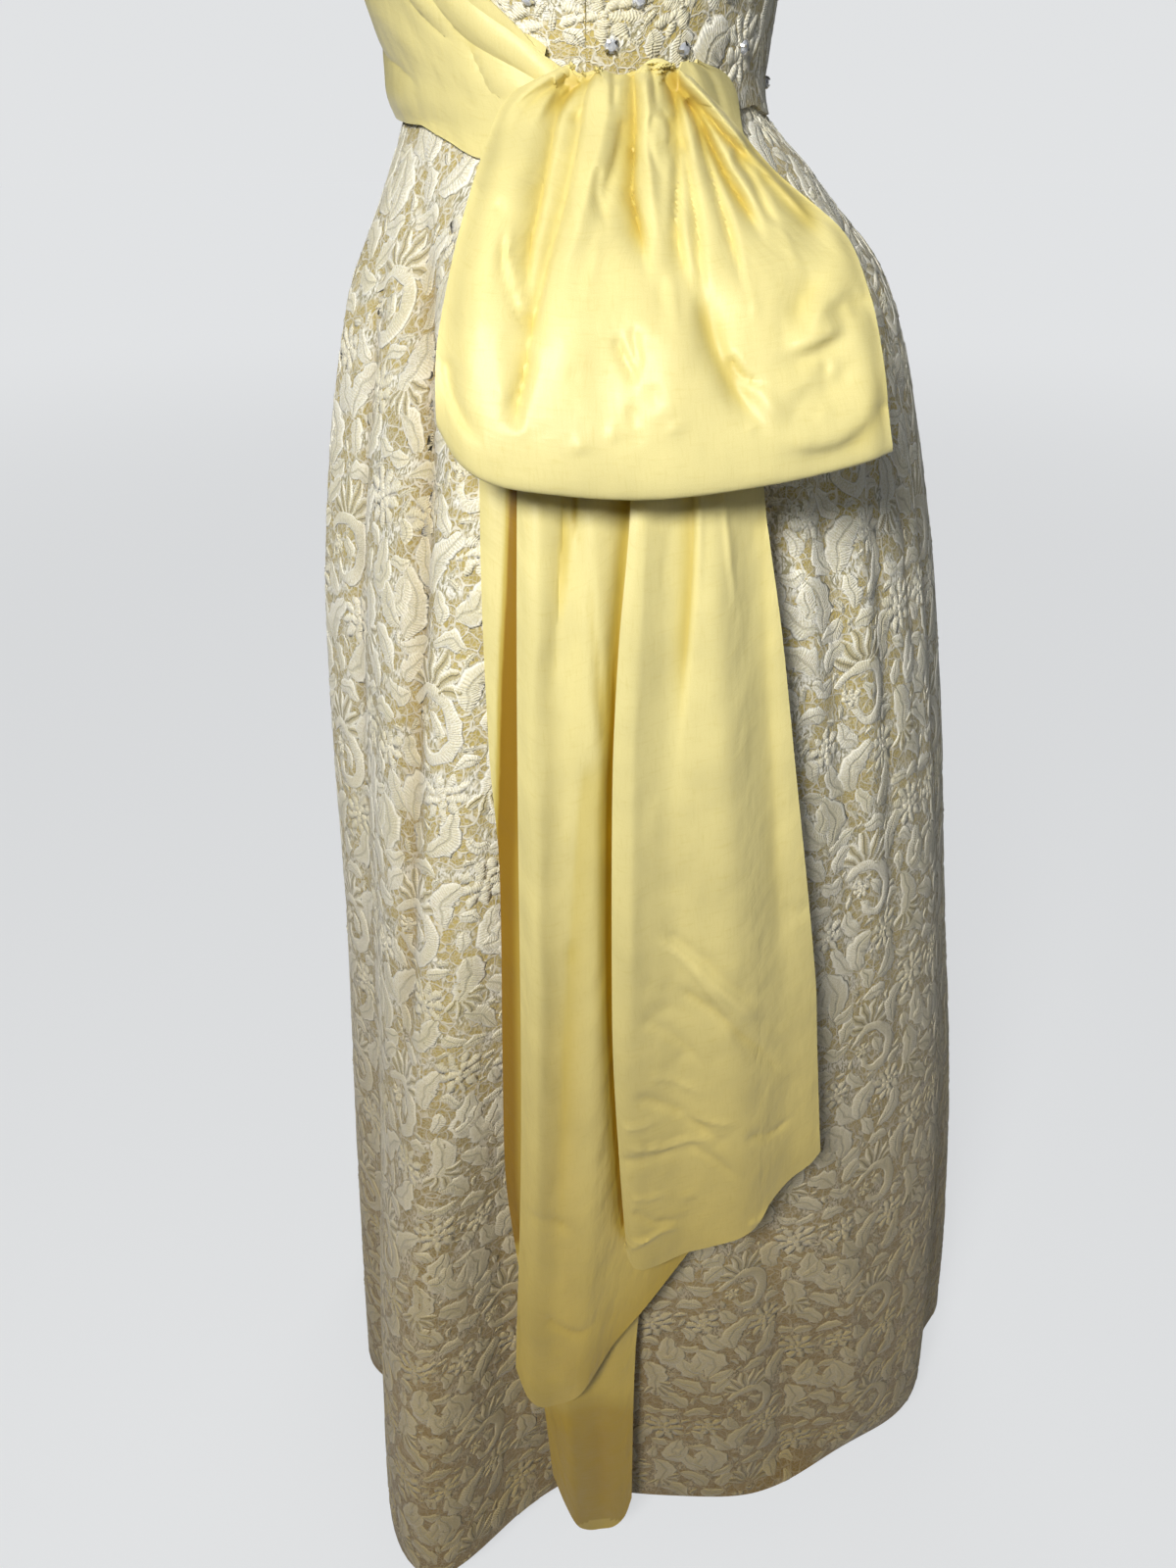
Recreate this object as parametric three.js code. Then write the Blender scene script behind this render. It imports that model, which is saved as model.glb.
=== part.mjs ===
// A floor-length lace evening gown with a satin sash, a great drooping bow and three streamers,
// hollow and filled out as it is when worn. Millimetres. +Z is up, -X is the front of the gown,
// -Y is the wearer's left side, which carries the bow. The origin is midway between the shoulder
// seams at their neck ends, which is where the wearer holds the gown up.
import * as THREE from "three";

// ---- Driving sizes ----
const WAIST = -400; // height of the waist seam, below the shoulders
const SKIRT_LENGTH = 1020;
const HEM = WAIST - SKIRT_LENGTH;
const UNDERARM = -150;
const LACE = 1.6; // wall of the lace skirt
const SATIN = 1.2; // wall of the underskirt
const BODICE = 2; // lace and the satin it is mounted on, sewn as one
const SASH = 1.5; // folded satin of the sash, bow and streamers
const UNDER_GAP = 0.8; // lace skirt to underskirt
const LAY = 1.4; // clearance of the bodice over the top of the skirt
const SASH_LAY = 2.6; // clearance of the draped sash over the bodice
const SEAM = 0.3; // gap between two panels at a seam
const UNDERSKIRT_SHORTER = 15;

const NECK = { side: 78, front: -88, back: -48, curve: 2.8 }; // half width, depths, roundness
const STRAP_END = 128; // half width out to the shoulder point
const SHOULDER_SLOPE = 0.36;
const ARMHOLE_CURVE = 2.6;
const YOKE = { front: { round: 1, lean: 0.5 }, back: { round: 3, lean: 0.6 } }; // curve up to the shoulder
const SCALLOP = { width: 30, depth: 4 }; // lace border along the bodice's lower edge, in degrees and mm
const TUCK = 14; // how far the skirt runs up under the bodice
const BODICE_ROWS = 8;
const SKIRT_ROWS = 9;
const TOP_ROW = 1 - 1 / SKIRT_ROWS; // share of the skirt's rows that lie below the waist
const ROW_CROWDING = 1.35; // how much closer together the skirt's rows are near the waist

// Horizontal sections up to the underarm: reach to the front, back, left and right, and squareness.
const SECTIONS = [
  { z: HEM, front: 226, back: 352, left: 208, right: 222, square: 2 },
  { z: HEM + 105, front: 219, back: 342, left: 211, right: 219, square: 2 },
  { z: HEM + 300, front: 205, back: 316, left: 212, right: 213, square: 2 },
  { z: WAIST - 520, front: 189, back: 280, left: 211, right: 208, square: 2 },
  { z: WAIST - 350, front: 177, back: 249, left: 206, right: 202, square: 2 },
  { z: WAIST - 211, front: 162, back: 217, left: 194, right: 190, square: 2 },
  { z: WAIST - 95, front: 137, back: 178, left: 166, right: 166, square: 2 },
  { z: WAIST - 35, front: 113, back: 131, left: 137, right: 137, square: 2 },
  { z: WAIST, front: 100.5, back: 98.3, left: 121, right: 121, square: 2 },
  { z: WAIST + 50, front: 108, back: 97.5, left: 125, right: 125, square: 2.1 },
  { z: WAIST + 110, front: 119, back: 101, left: 133, right: 133, square: 2.2 },
  { z: WAIST + 160, front: 139, back: 105, left: 139, right: 139, square: 2.3 },
  { z: WAIST + 200, front: 149, back: 108, left: 143, right: 143, square: 2.4 },
  { z: UNDERARM, front: 142, back: 110, left: 146, right: 146, square: 2.4 },
];

// Folds of the skirt. Angles are degrees round from the front towards the wearer's left, at the waist
// and at the hem. Widths are degrees either side, depth is mm at the hem, and from and full are how far
// below the waist a fold starts and reaches its depth. A ridge is positive and a trough negative.
const SKIRT_FOLDS = [
  { waist: -24, hem: -18, before: 11, after: 10, depth: 24, from: 120, full: 1020 },
  { waist: 8, hem: 4, before: 12, after: 12, depth: -24, from: 200, full: 1020 },
  { waist: 47, hem: 34, before: 7, after: 9, depth: -14, from: 0, full: 900 },
  { waist: 61, hem: 65, before: 18, after: 9.5, depth: 86, from: 40, full: 1020 },
  { waist: 84, hem: 88, before: 7, after: 9, depth: -9, from: 200, full: 900 },
  { waist: 108, hem: 114, before: 10, after: 12, depth: 13, from: 350, full: 900 },
  { waist: 134, hem: 142, before: 10, after: 12, depth: 7, from: 500, full: 1020 },
  { waist: 168, hem: 162, before: 10, after: 9, depth: -14, from: 100, full: 1000 },
  { waist: 196, hem: 199, before: 9, after: 10, depth: 19, from: 80, full: 1020 },
  { waist: 216, hem: 218, before: 9, after: 9, depth: -15, from: 120, full: 900 },
  { waist: 236, hem: 240, before: 9, after: 11, depth: 24, from: 60, full: 1020 },
  { waist: 262, hem: 263, before: 10, after: 8, depth: -16, from: 150, full: 1000 },
  { waist: 288, hem: 286, before: 9, after: 10, depth: 30, from: 60, full: 1020 },
  { waist: 312, hem: 311, before: 9, after: 9, depth: -18, from: 140, full: 950 },
];

// The sash: its edges at angles round from the front, from the right side seam to under the bow.
const SASH_EDGES = [
  { angle: -89.9, low: WAIST, high: WAIST + 112 },
  { angle: 0, low: WAIST - 1, high: WAIST + 112 },
  { angle: 30, low: WAIST - 6, high: WAIST + 98 },
  { angle: 50, low: WAIST - 16, high: WAIST + 68 },
  { angle: 64, low: WAIST - 24, high: WAIST + 48 },
  { angle: 76, low: WAIST - 18, high: WAIST + 28 },
  { angle: 83.5, low: WAIST - 6, high: WAIST + 13 },
];

// The bow's loop, from its gathered top to its lower fold: its left and right edge, and how far its
// back and front stand off the skirt.
const BOW_ROWS = [
  { z: WAIST + 9, left: -11, right: 46, back: 6.9, front: 17 },
  { z: WAIST - 2, left: -33, right: 62, back: 7.85, front: 34 },
  { z: WAIST - 24, left: -47, right: 76, back: 14, front: 46 },
  { z: WAIST - 55, left: -57, right: 105, back: 22, front: 54 },
  { z: WAIST - 84, left: -64, right: 122, back: 29, front: 59 },
  { z: WAIST - 114, left: -67, right: 130, back: 35, front: 62 },
  { z: WAIST - 134, left: -66, right: 137, back: 38, front: 62 },
  { z: WAIST - 150, left: -60, right: 137, back: 40, front: 60 },
];
const BOW_FLATNESS = 0.6; // how much less the bow curves across than the skirt behind it
const BOW_TURN = { down: 0.8, forward: 0.5 }; // how full the loop's turn is: 1 is an ellipse, less is fuller
const GATHER_TOP = { width: 0.05, start: 0.15, rise: 6 }; // gathers at the bow's top, and how they start
const BOW_BOTTOM = [
  { share: 0, z: WAIST - 131 },
  { share: 0.15, z: WAIST - 143 },
  { share: 0.45, z: WAIST - 148 },
  { share: 0.72, z: WAIST - 143 },
  { share: 1, z: WAIST - 134 },
];
// Gathers of the loop's front: place across at the top and at the bottom (0 left, 1 right), half width
// at the bottom, depth, and how far down each dies away.
const BOW_FOLDS = [
  { top: 0.12, bottom: 0.08, width: 0.08, depth: 4, reach: 0.9 },
  { top: 0.27, bottom: 0.2, width: 0.05, depth: -5, reach: 0.95 },
  { top: 0.38, bottom: 0.33, width: 0.06, depth: 4, reach: 0.7 },
  { top: 0.5, bottom: 0.43, width: 0.05, depth: -6, reach: 0.75 },
  { top: 0.62, bottom: 0.52, width: 0.06, depth: 5, reach: 0.8 },
  { top: 0.74, bottom: 0.64, width: 0.05, depth: -5, reach: 0.9 },
  { top: 0.84, bottom: 0.78, width: 0.06, depth: 5, reach: 0.95 },
  { top: 0.93, bottom: 0.89, width: 0.05, depth: -7, reach: 0.8 },
];

const PLEAT_DROP = 250; // below the top, where a streamer's folds reach their depth
const STREAMER_CROWDING = 0.8; // how much closer together a streamer's rows are near its end
// The streamers hang behind the bow, one on another. Each has its edges at each height and how far it
// stands off the skirt, the heights of its slanting end from left to right, and its lengthwise folds.
const STREAMERS = {
  streamer_under: {
    rows: [
      { z: WAIST + 4, left: -6, right: 40, stand: 3 },
      { z: WAIST - 16, left: -10, right: 44, stand: 3.4 },
      { z: WAIST - 36, left: -30, right: 50, stand: 4 },
      { z: WAIST - 84, left: -48, right: 56, stand: 6.5 },
      { z: WAIST - 160, left: -53, right: 56, stand: 9.5 },
      { z: WAIST - 300, left: -50, right: 52, stand: 11 },
      { z: WAIST - 500, left: -47, right: 44, stand: 12 },
      { z: WAIST - 800, left: -34, right: 34, stand: 13 },
      { z: HEM + 4, left: -22, right: 37, stand: 24 },
    ],
    end: [
      { share: 0, z: HEM + 85 },
      { share: 0.25, z: HEM + 30 },
      { share: 0.6, z: HEM + 3 },
      { share: 0.85, z: HEM + 12 },
      { share: 1, z: HEM + 45 },
    ],
    folds: [{ at: 0.25, width: 0.12, depth: 3 }, { at: 0.6, width: 0.15, depth: -2.5 }],
  },
  streamer_middle: {
    rows: [
      { z: WAIST + 4, left: -6, right: 40, stand: 5 },
      { z: WAIST - 16, left: -8, right: 44, stand: 6 },
      { z: WAIST - 36, left: -22, right: 52, stand: 8.5 },
      { z: WAIST - 84, left: -31, right: 70, stand: 12 },
      { z: WAIST - 160, left: -33, right: 76, stand: 18 },
      { z: WAIST - 300, left: -36, right: 84, stand: 20 },
      { z: WAIST - 500, left: -42, right: 92, stand: 21 },
      { z: WAIST - 800, left: -52, right: 96, stand: 25 },
      { z: WAIST - 850, left: -52, right: 96, stand: 25 },
    ],
    end: [
      { share: 0, z: WAIST - 790 },
      { share: 0.08, z: WAIST - 822 },
      { share: 0.2, z: WAIST - 832 },
      { share: 0.34, z: WAIST - 806 },
      { share: 0.55, z: WAIST - 740 },
      { share: 0.78, z: WAIST - 676 },
      { share: 1, z: WAIST - 632 },
    ],
    folds: [
      { at: 0.06, width: 0.07, depth: 3.5 },
      { at: 0.2, width: 0.07, depth: -2.5 },
      { at: 0.33, width: 0.07, depth: 3 },
      { at: 0.5, width: 0.09, depth: -3 },
    ],
  },
  streamer_front: {
    rows: [
      { z: WAIST + 4, left: -6, right: 40, stand: 7 },
      { z: WAIST - 16, left: -2, right: 44, stand: 9 },
      { z: WAIST - 36, left: 6, right: 54, stand: 13 },
      { z: WAIST - 84, left: 12, right: 82, stand: 19 },
      { z: WAIST - 160, left: 15, right: 89, stand: 27 },
      { z: WAIST - 300, left: 16, right: 112, stand: 30 },
      { z: WAIST - 500, left: 18, right: 143, stand: 31 },
      { z: WAIST - 600, left: 22, right: 154, stand: 32 },
      { z: WAIST - 670, left: 28, right: 156, stand: 32 },
    ],
    end: [
      { share: 0, z: WAIST - 654 },
      { share: 0.08, z: WAIST - 668 },
      { share: 0.3, z: WAIST - 664 },
      { share: 0.6, z: WAIST - 648 },
      { share: 0.72, z: WAIST - 632 },
      { share: 0.9, z: WAIST - 608 },
      { share: 1, z: WAIST - 592 },
    ],
    folds: [
      { at: 0.05, width: 0.08, depth: 3 },
      { at: 0.3, width: 0.1, depth: -2.5 },
      { at: 0.6, width: 0.12, depth: 3.5 },
      { at: 0.85, width: 0.1, depth: -2.5 },
    ],
  },
};

// The folded end of satin that shows at the right of the bow's gathered top, its right edge bent in.
const TUCK_BEND = 1.2;
const TUCK_ROWS = [
  { z: WAIST - 40, left: 66, right: 75, stand: 13 },
  { z: WAIST - 24, left: 57, right: 73, stand: 11 },
  { z: WAIST - 8, left: 49, right: 70, stand: 9.5 },
  { z: WAIST + 6, left: 45, right: 65, stand: 9.4 },
  { z: WAIST + 14, left: 44, right: 57, stand: 9.1 },
];

// ---- Colours ----
const finish = (colour, roughness) =>
  new THREE.MeshStandardMaterial({ color: colour, roughness, metalness: 0, side: THREE.DoubleSide });
const LACE_FINISH = finish(0xd9d4c2, 0.85);
const SATIN_FINISH = finish(0xe8d98a, 0.42);
const LINING_FINISH = finish(0xd9c77a, 0.55);

// ---- Helpers ----
const radians = THREE.MathUtils.degToRad;
const lerp = THREE.MathUtils.lerp;
const clamp = THREE.MathUtils.clamp;

// A column of a table at a value of its key: a smooth cubic through the rows.
function read(rows, key, value, column) {
  const rising = rows[0][key] < rows[rows.length - 1][key] ? rows : [...rows].reverse();
  const last = rising.length - 1;
  let i = 0;
  while (i < last - 1 && value > rising[i + 1][key]) i += 1;
  const slope = (a, b) => (rising[b][column] - rising[a][column]) / (rising[b][key] - rising[a][key]);
  const tangent = (k) => slope(Math.max(k - 1, 0), Math.min(k + 1, last));
  const span = rising[i + 1][key] - rising[i][key];
  const t = clamp((value - rising[i][key]) / span, 0, 1);
  const [p, q] = [rising[i][column], rising[i + 1][column]];
  const ease = t * t * (3 - 2 * t);
  const bends = tangent(i) * (1 - t) - tangent(i + 1) * t;
  return lerp(p, q, ease) + span * t * (1 - t) * bends;
}

const bump = (distance, width) => Math.exp(-((distance / width) ** 2));
const around = (degrees) => ((((degrees + 180) % 360) + 360) % 360) - 180;

// How far the skirt's folds stand out at an angle and a height.
function foldDepth(angle, z) {
  const drop = WAIST - z;
  return SKIRT_FOLDS.reduce((sum, fold) => {
    const centre = lerp(fold.waist, fold.hem, clamp(drop / SKIRT_LENGTH, 0, 1));
    const off = around(angle - centre);
    const grown = clamp((drop - fold.from) / (fold.full - fold.from), 0, 1);
    return sum + fold.depth * grown * bump(off, off < 0 ? fold.before : fold.after);
  }, 0);
}

// A point of the gown's form at an angle round from the front and a height.
function formPoint(angle, z) {
  const [c, s] = [Math.cos(radians(angle)), Math.sin(radians(angle))];
  const power = 2 / read(SECTIONS, "z", z, "square");
  const deep = read(SECTIONS, "z", z, c > 0 ? "front" : "back");
  const wide = read(SECTIONS, "z", z, s > 0 ? "left" : "right");
  const normal = new THREE.Vector2(-c / deep, -s / wide).normalize();
  const out = foldDepth(angle, z);
  const x = -Math.sign(c) * deep * Math.abs(c) ** power + normal.x * out;
  const y = -Math.sign(s) * wide * Math.abs(s) ** power + normal.y * out;
  return new THREE.Vector3(x, y, z);
}

// Height of the shoulder seam at a distance out from the middle.
const shoulderHeight = (out) => -Math.max(0, out - NECK.side) * SHOULDER_SLOPE;

// The same form above the underarm: the cloth runs straight up at one width and closes on the shoulder.
function yokePoint(angle, z) {
  const level = formPoint(angle, Math.min(z, UNDERARM));
  if (z <= UNDERARM) return level;
  const top = shoulderHeight(Math.abs(level.y));
  const { round, lean } = level.x < 0 ? YOKE.front : YOKE.back;
  const below = clamp((top - z) / (top - UNDERARM), 0, 1);
  return new THREE.Vector3(level.x * (1 - (1 - below) ** round) ** lean, level.y, z);
}

// How far out to the left the plain skirt reaches, at a place along the gown's depth.
function sideReach(x, z) {
  const square = read(SECTIONS, "z", z, "square");
  const deep = read(SECTIONS, "z", z, x < 0 ? "front" : "back");
  return read(SECTIONS, "z", z, "left") * Math.max(0, 1 - Math.abs(x / deep) ** square) ** (1 / square);
}

// A closed wall of cloth on a surface. surface(u, v) has its outside on the side of du x dv, and outer
// and inner are the heights of the wall's two faces over it. A looped wall closes on itself along v.
function wall(surface, { across, up, outer = 0, inner, looped = false }) {
  const step = 1e-3;
  const edge = looped ? (v) => v : (v) => clamp(v, 0, 1);
  const normalAt = (u, v) => {
    const du = surface(Math.min(u + step, 1), v).sub(surface(Math.max(u - step, 0), v));
    const dv = surface(u, edge(v + step)).sub(surface(u, edge(v - step)));
    return du.cross(dv).normalize();
  };
  const rows = looped ? up : up + 1;
  const [vertices, faces] = [[], []];
  for (const height of [outer, inner])
    for (let j = 0; j < rows; j += 1)
      for (let i = 0; i <= across; i += 1) {
        const [u, v] = [i / across, j / up];
        vertices.push(...surface(u, v).addScaledVector(normalAt(u, v), height));
      }
  const at = (side, i, j) => side * rows * (across + 1) + (j % rows) * (across + 1) + i;
  const quad = (a, b, c, d) => faces.push(a, b, c, a, c, d);
  for (let j = 0; j < up; j += 1) {
    for (let i = 0; i < across; i += 1) {
      quad(at(0, i, j), at(0, i + 1, j), at(0, i + 1, j + 1), at(0, i, j + 1));
      quad(at(1, i, j), at(1, i, j + 1), at(1, i + 1, j + 1), at(1, i + 1, j));
    }
    quad(at(0, 0, j), at(0, 0, j + 1), at(1, 0, j + 1), at(1, 0, j));
    quad(at(0, across, j), at(1, across, j), at(1, across, j + 1), at(0, across, j + 1));
  }
  for (let i = 0; i < across && !looped; i += 1) {
    quad(at(0, i, 0), at(1, i, 0), at(1, i + 1, 0), at(0, i + 1, 0));
    quad(at(0, i, up), at(0, i + 1, up), at(1, i + 1, up), at(1, i, up));
  }
  return new THREE.BufferGeometry()
    .setAttribute("position", new THREE.Float32BufferAttribute(vertices, 3))
    .setIndex(faces);
}

// An angle between two seams, drawn in by half a seam's gap at each end.
function betweenSeams(from, to, u, z) {
  const reach = (angle) => formPoint(angle + 1, z).distanceTo(formPoint(angle - 1, z)) / 2;
  return lerp(from + SEAM / 2 / reach(from), to - SEAM / 2 / reach(to), u);
}

// ---- Pieces ----
const gown = new THREE.Group();
function add(name, geometry, material) {
  const mesh = new THREE.Mesh(geometry, material);
  mesh.name = name;
  gown.add(mesh);
}

// Lower edge of the bodice: it rises over the bow and is cut in shallow scallops.
function bodiceEdge(angle) {
  const rise = 16 * bump(around(angle - 100), 30);
  const scallop = Math.abs(Math.sin(radians((angle / SCALLOP.width) * 180)));
  return WAIST + rise - SCALLOP.depth * scallop;
}

// The angle at which the underarm section is a given distance out from the middle.
function angleAt(out) {
  const { left, square } = SECTIONS[SECTIONS.length - 1];
  return THREE.MathUtils.radToDeg(Math.asin((out / left) ** (square / 2)));
}

// Upper edge of the bodice: neckline, then shoulder, then armhole.
function bodiceTop(angle) {
  const out = Math.abs(formPoint(angle, UNDERARM).y);
  const ahead = Math.abs(around(angle)) < 90;
  if (out < NECK.side)
    return lerp(ahead ? NECK.front : NECK.back, 0, (out / NECK.side) ** NECK.curve);
  if (out < STRAP_END) return shoulderHeight(out);
  const strap = angleAt(STRAP_END);
  const side = Math.abs(angle - (ahead ? 0 : 180));
  const toSide = clamp((side - strap) / (90 - strap), 0, 1);
  return lerp(UNDERARM, shoulderHeight(STRAP_END), (1 - toSide) ** ARMHOLE_CURVE);
}

// Moves the columns at 30 and 60 degrees to the neck end and the arm end of the shoulder.
function toShoulder(angle) {
  const middle = angle > 90 ? 180 : 0;
  const knots = [0, angleAt(NECK.side), angleAt(STRAP_END), 90];
  const [off, k] = [Math.abs(angle - middle), Math.min(2, Math.floor(Math.abs(angle - middle) / 30))];
  return middle + Math.sign(angle - middle) * lerp(knots[k], knots[k + 1], off / 30 - k);
}

function bodicePanel(from, to) {
  return (u, v) => {
    const angle = toShoulder(betweenSeams(from, to, u, WAIST + 60));
    const z = lerp(bodiceEdge(angle), bodiceTop(angle), v);
    const point = yokePoint(angle, z);
    point.x += (Math.abs(around(angle)) < 90 ? -SEAM : SEAM) / 2; // front and back stay apart at the seams
    return point;
  };
}

function skirtPanel(from, to, hem) {
  return (u, v) => {
    const top = bodiceEdge(betweenSeams(from, to, u, WAIST)) + TUCK;
    const z = v > TOP_ROW ? lerp(WAIST, top, (v - TOP_ROW) / (1 - TOP_ROW))
      : lerp(WAIST, hem, (1 - v / TOP_ROW) ** ROW_CROWDING);
    return formPoint(betweenSeams(from, to, u, z), z);
  };
}

function sashSurface(u, v) {
  const angle = lerp(SASH_EDGES[0].angle, SASH_EDGES[SASH_EDGES.length - 1].angle, u);
  const low = read(SASH_EDGES, "angle", angle, "low");
  const high = read(SASH_EDGES, "angle", angle, "high");
  return formPoint(angle, lerp(low, high, v));
}

function bowSurface(u, v) {
  const turn = 2 * Math.PI * v; // 0 at the bottom fold, then up the front and down the back
  const soft = (value, power) => Math.sign(value) * Math.abs(value) ** power;
  const down = 0.5 + 0.5 * soft(Math.cos(turn), BOW_TURN.down);
  const forward = 0.5 + 0.5 * soft(Math.sin(turn), BOW_TURN.forward);
  const z = lerp(BOW_ROWS[0].z, read(BOW_BOTTOM, "share", u, "z"), down);
  const x = lerp(read(BOW_ROWS, "z", z, "left"), read(BOW_ROWS, "z", z, "right"), u);
  const gathers = BOW_FOLDS.reduce((sum, fold) => {
    const centre = lerp(fold.top, fold.bottom, down);
    const width = lerp(GATHER_TOP.width, fold.width, down);
    return sum + fold.depth * bump(u - centre, width) * clamp(1 - down / fold.reach, 0, 1);
  }, 0);
  const [back, front] = ["back", "front"].map((side) => read(BOW_ROWS, "z", z, side));
  const depth = gathers * clamp(down * GATHER_TOP.rise, GATHER_TOP.start, 1);
  const stand = lerp(back, front + depth, forward);
  return new THREE.Vector3(x, -sideReach(x * BOW_FLATNESS, z) - stand, z);
}

function streamerSurface({ rows, end, folds }) {
  return (u, v) => {
    const z = lerp(read(end, "share", u, "z"), rows[0].z, v ** STREAMER_CROWDING);
    const x = lerp(read(rows, "z", z, "left"), read(rows, "z", z, "right"), u);
    const gather = clamp((rows[0].z - z) / PLEAT_DROP, 0, 1);
    const pleat = folds.reduce((sum, fold) => sum + fold.depth * bump(u - fold.at, fold.width), 0);
    const stand = read(rows, "z", z, "stand") + pleat * gather;
    return new THREE.Vector3(x, -sideReach(x, z) - stand, z);
  };
}

function tuckSurface(u, v) {
  const z = lerp(TUCK_ROWS[0].z, TUCK_ROWS[TUCK_ROWS.length - 1].z, v);
  const x = lerp(read(TUCK_ROWS, "z", z, "left"), read(TUCK_ROWS, "z", z, "right"), u);
  const stand = read(TUCK_ROWS, "z", z, "stand") - TUCK_BEND * u ** 3;
  return new THREE.Vector3(x, -sideReach(x, z) - stand, z);
}

// The cut of the gown: each panel runs between two seams, given as angles round from the front.
const PANELS = {
  front: { from: -90, to: 90, bodice: 24, skirt: 28 },
  back_left: { from: 90, to: 180, bodice: 12, skirt: 15 },
  back_right: { from: 180, to: 270, bodice: 12, skirt: 15 },
};
for (const [side, { from, to, bodice, skirt }] of Object.entries(PANELS)) {
  const upper = { across: bodice, up: BODICE_ROWS, outer: LAY + BODICE, inner: LAY };
  const outside = { across: skirt, up: SKIRT_ROWS, inner: -LACE };
  const lining = -LACE - UNDER_GAP;
  const inside = { across: skirt, up: SKIRT_ROWS, outer: lining, inner: lining - SATIN };
  add("bodice_" + side, wall(bodicePanel(from, to), upper), LACE_FINISH);
  add("skirt_" + side, wall(skirtPanel(from, to, HEM), outside), LACE_FINISH);
  add("underskirt_" + side, wall(skirtPanel(from, to, HEM + UNDERSKIRT_SHORTER), inside), LINING_FINISH);
}

const sashInner = LAY + BODICE + SASH_LAY;
const sashWall = { across: 24, up: 3, outer: sashInner + SASH, inner: sashInner };
add("sash", wall(sashSurface, sashWall), SATIN_FINISH);
add("bow_loop", wall(bowSurface, { across: 18, up: 18, inner: -SASH, looped: true }), SATIN_FINISH);
add("bow_tuck", wall(tuckSurface, { across: 3, up: 3, inner: -SASH }), SATIN_FINISH);
for (const [name, shape] of Object.entries(STREAMERS))
  add(name, wall(streamerSurface(shape), { across: 12, up: 8, inner: -SASH }), SATIN_FINISH);

export default gown;
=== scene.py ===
import math

import bpy
import numpy as np
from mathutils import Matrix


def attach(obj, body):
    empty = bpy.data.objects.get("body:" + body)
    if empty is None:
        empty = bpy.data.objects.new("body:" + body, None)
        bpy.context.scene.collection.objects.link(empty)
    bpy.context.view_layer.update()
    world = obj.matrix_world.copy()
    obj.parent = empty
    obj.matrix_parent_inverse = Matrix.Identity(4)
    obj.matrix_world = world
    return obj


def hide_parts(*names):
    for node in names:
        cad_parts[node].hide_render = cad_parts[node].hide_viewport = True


bl_info = {
    "name": "Lace gown",
    "version": (1, 0, 0),
    "blender": (4, 5, 0),
    "location": "3D View > Sidebar > Gown",
    "description": "Dresses a packed lace gown: lace, satin, sash, bow, streamers and stones",
    "category": "Add Mesh",
}

# +Z is up, -X is the gown's front, -Y the wearer's left side. Tables and shapes are in millimetres.
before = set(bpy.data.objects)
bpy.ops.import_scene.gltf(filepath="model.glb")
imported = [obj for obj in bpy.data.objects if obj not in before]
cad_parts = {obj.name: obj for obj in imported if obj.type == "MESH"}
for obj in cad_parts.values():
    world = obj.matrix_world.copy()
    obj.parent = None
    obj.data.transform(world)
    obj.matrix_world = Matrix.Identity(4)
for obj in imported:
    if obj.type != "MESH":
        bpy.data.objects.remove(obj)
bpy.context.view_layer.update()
MM = 0.001


# ---- The gown's form ----

WAIST = -400.0


def table(columns, *rows):
    """Rows of numbers as one array for each named column, in the order of the first column. A column
    named drop is a distance below the waist. It is kept as a height, z."""
    names, values = columns.split(), np.array(rows, float)
    if "drop" in names:
        values[:, names.index("drop")] = WAIST - values[:, names.index("drop")]
    columns = values[values[:, 0].argsort()].T
    return dict(zip(("z" if name == "drop" else name for name in names), columns))


HEM = WAIST - 1020.0
UNDERARM = -150.0
SEAM = 0.06  # gap between two panels at a seam
LACE, SATIN, BODICE, SASH = 1.6, 1.2, 2.0, 1.5  # walls
LAY, SASH_LAY, UNDER_GAP = 1.4, 2.6, 0.8  # clearances between layers
UNDERSKIRT_SHORTER = 15.0
NECK = {"side": 78.0, "front": -88.0, "back": -48.0, "curve": 2.8}
STRAP_END, SHOULDER_SLOPE, ARMHOLE_CURVE = 128.0, 0.36, 2.6
SCALLOP_WIDTH, SCALLOP_DEPTH = 30.0, 4.0  # degrees, mm
TUCK = 14.0  # how far the skirt goes up behind the bodice
# Powers that round the cloth above the underarm on its way up to the shoulder, first below, then above.
YOKE_FRONT, YOKE_BACK = (1, 0.5), (3, 0.6)

SECTIONS = table(
    "z front back left right square",
    (HEM, 226, 352, 208, 222, 2),
    (HEM + 105, 219, 342, 211, 219, 2),
    (HEM + 300, 205, 316, 212, 213, 2),
    (WAIST - 520, 189, 280, 211, 208, 2),
    (WAIST - 350, 177, 249, 206, 202, 2),
    (WAIST - 211, 162, 217, 194, 190, 2),
    (WAIST - 95, 137, 178, 166, 166, 2),
    (WAIST - 35, 113, 131, 137, 137, 2),
    (WAIST, 100.5, 98.3, 121, 121, 2),
    (WAIST + 50, 108, 97.5, 125, 125, 2.1),
    (WAIST + 110, 119, 101, 133, 133, 2.2),
    (WAIST + 160, 139, 105, 139, 139, 2.3),
    (WAIST + 200, 149, 108, 143, 143, 2.4),
    (UNDERARM, 142, 110, 146, 146, 2.4),
)
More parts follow.
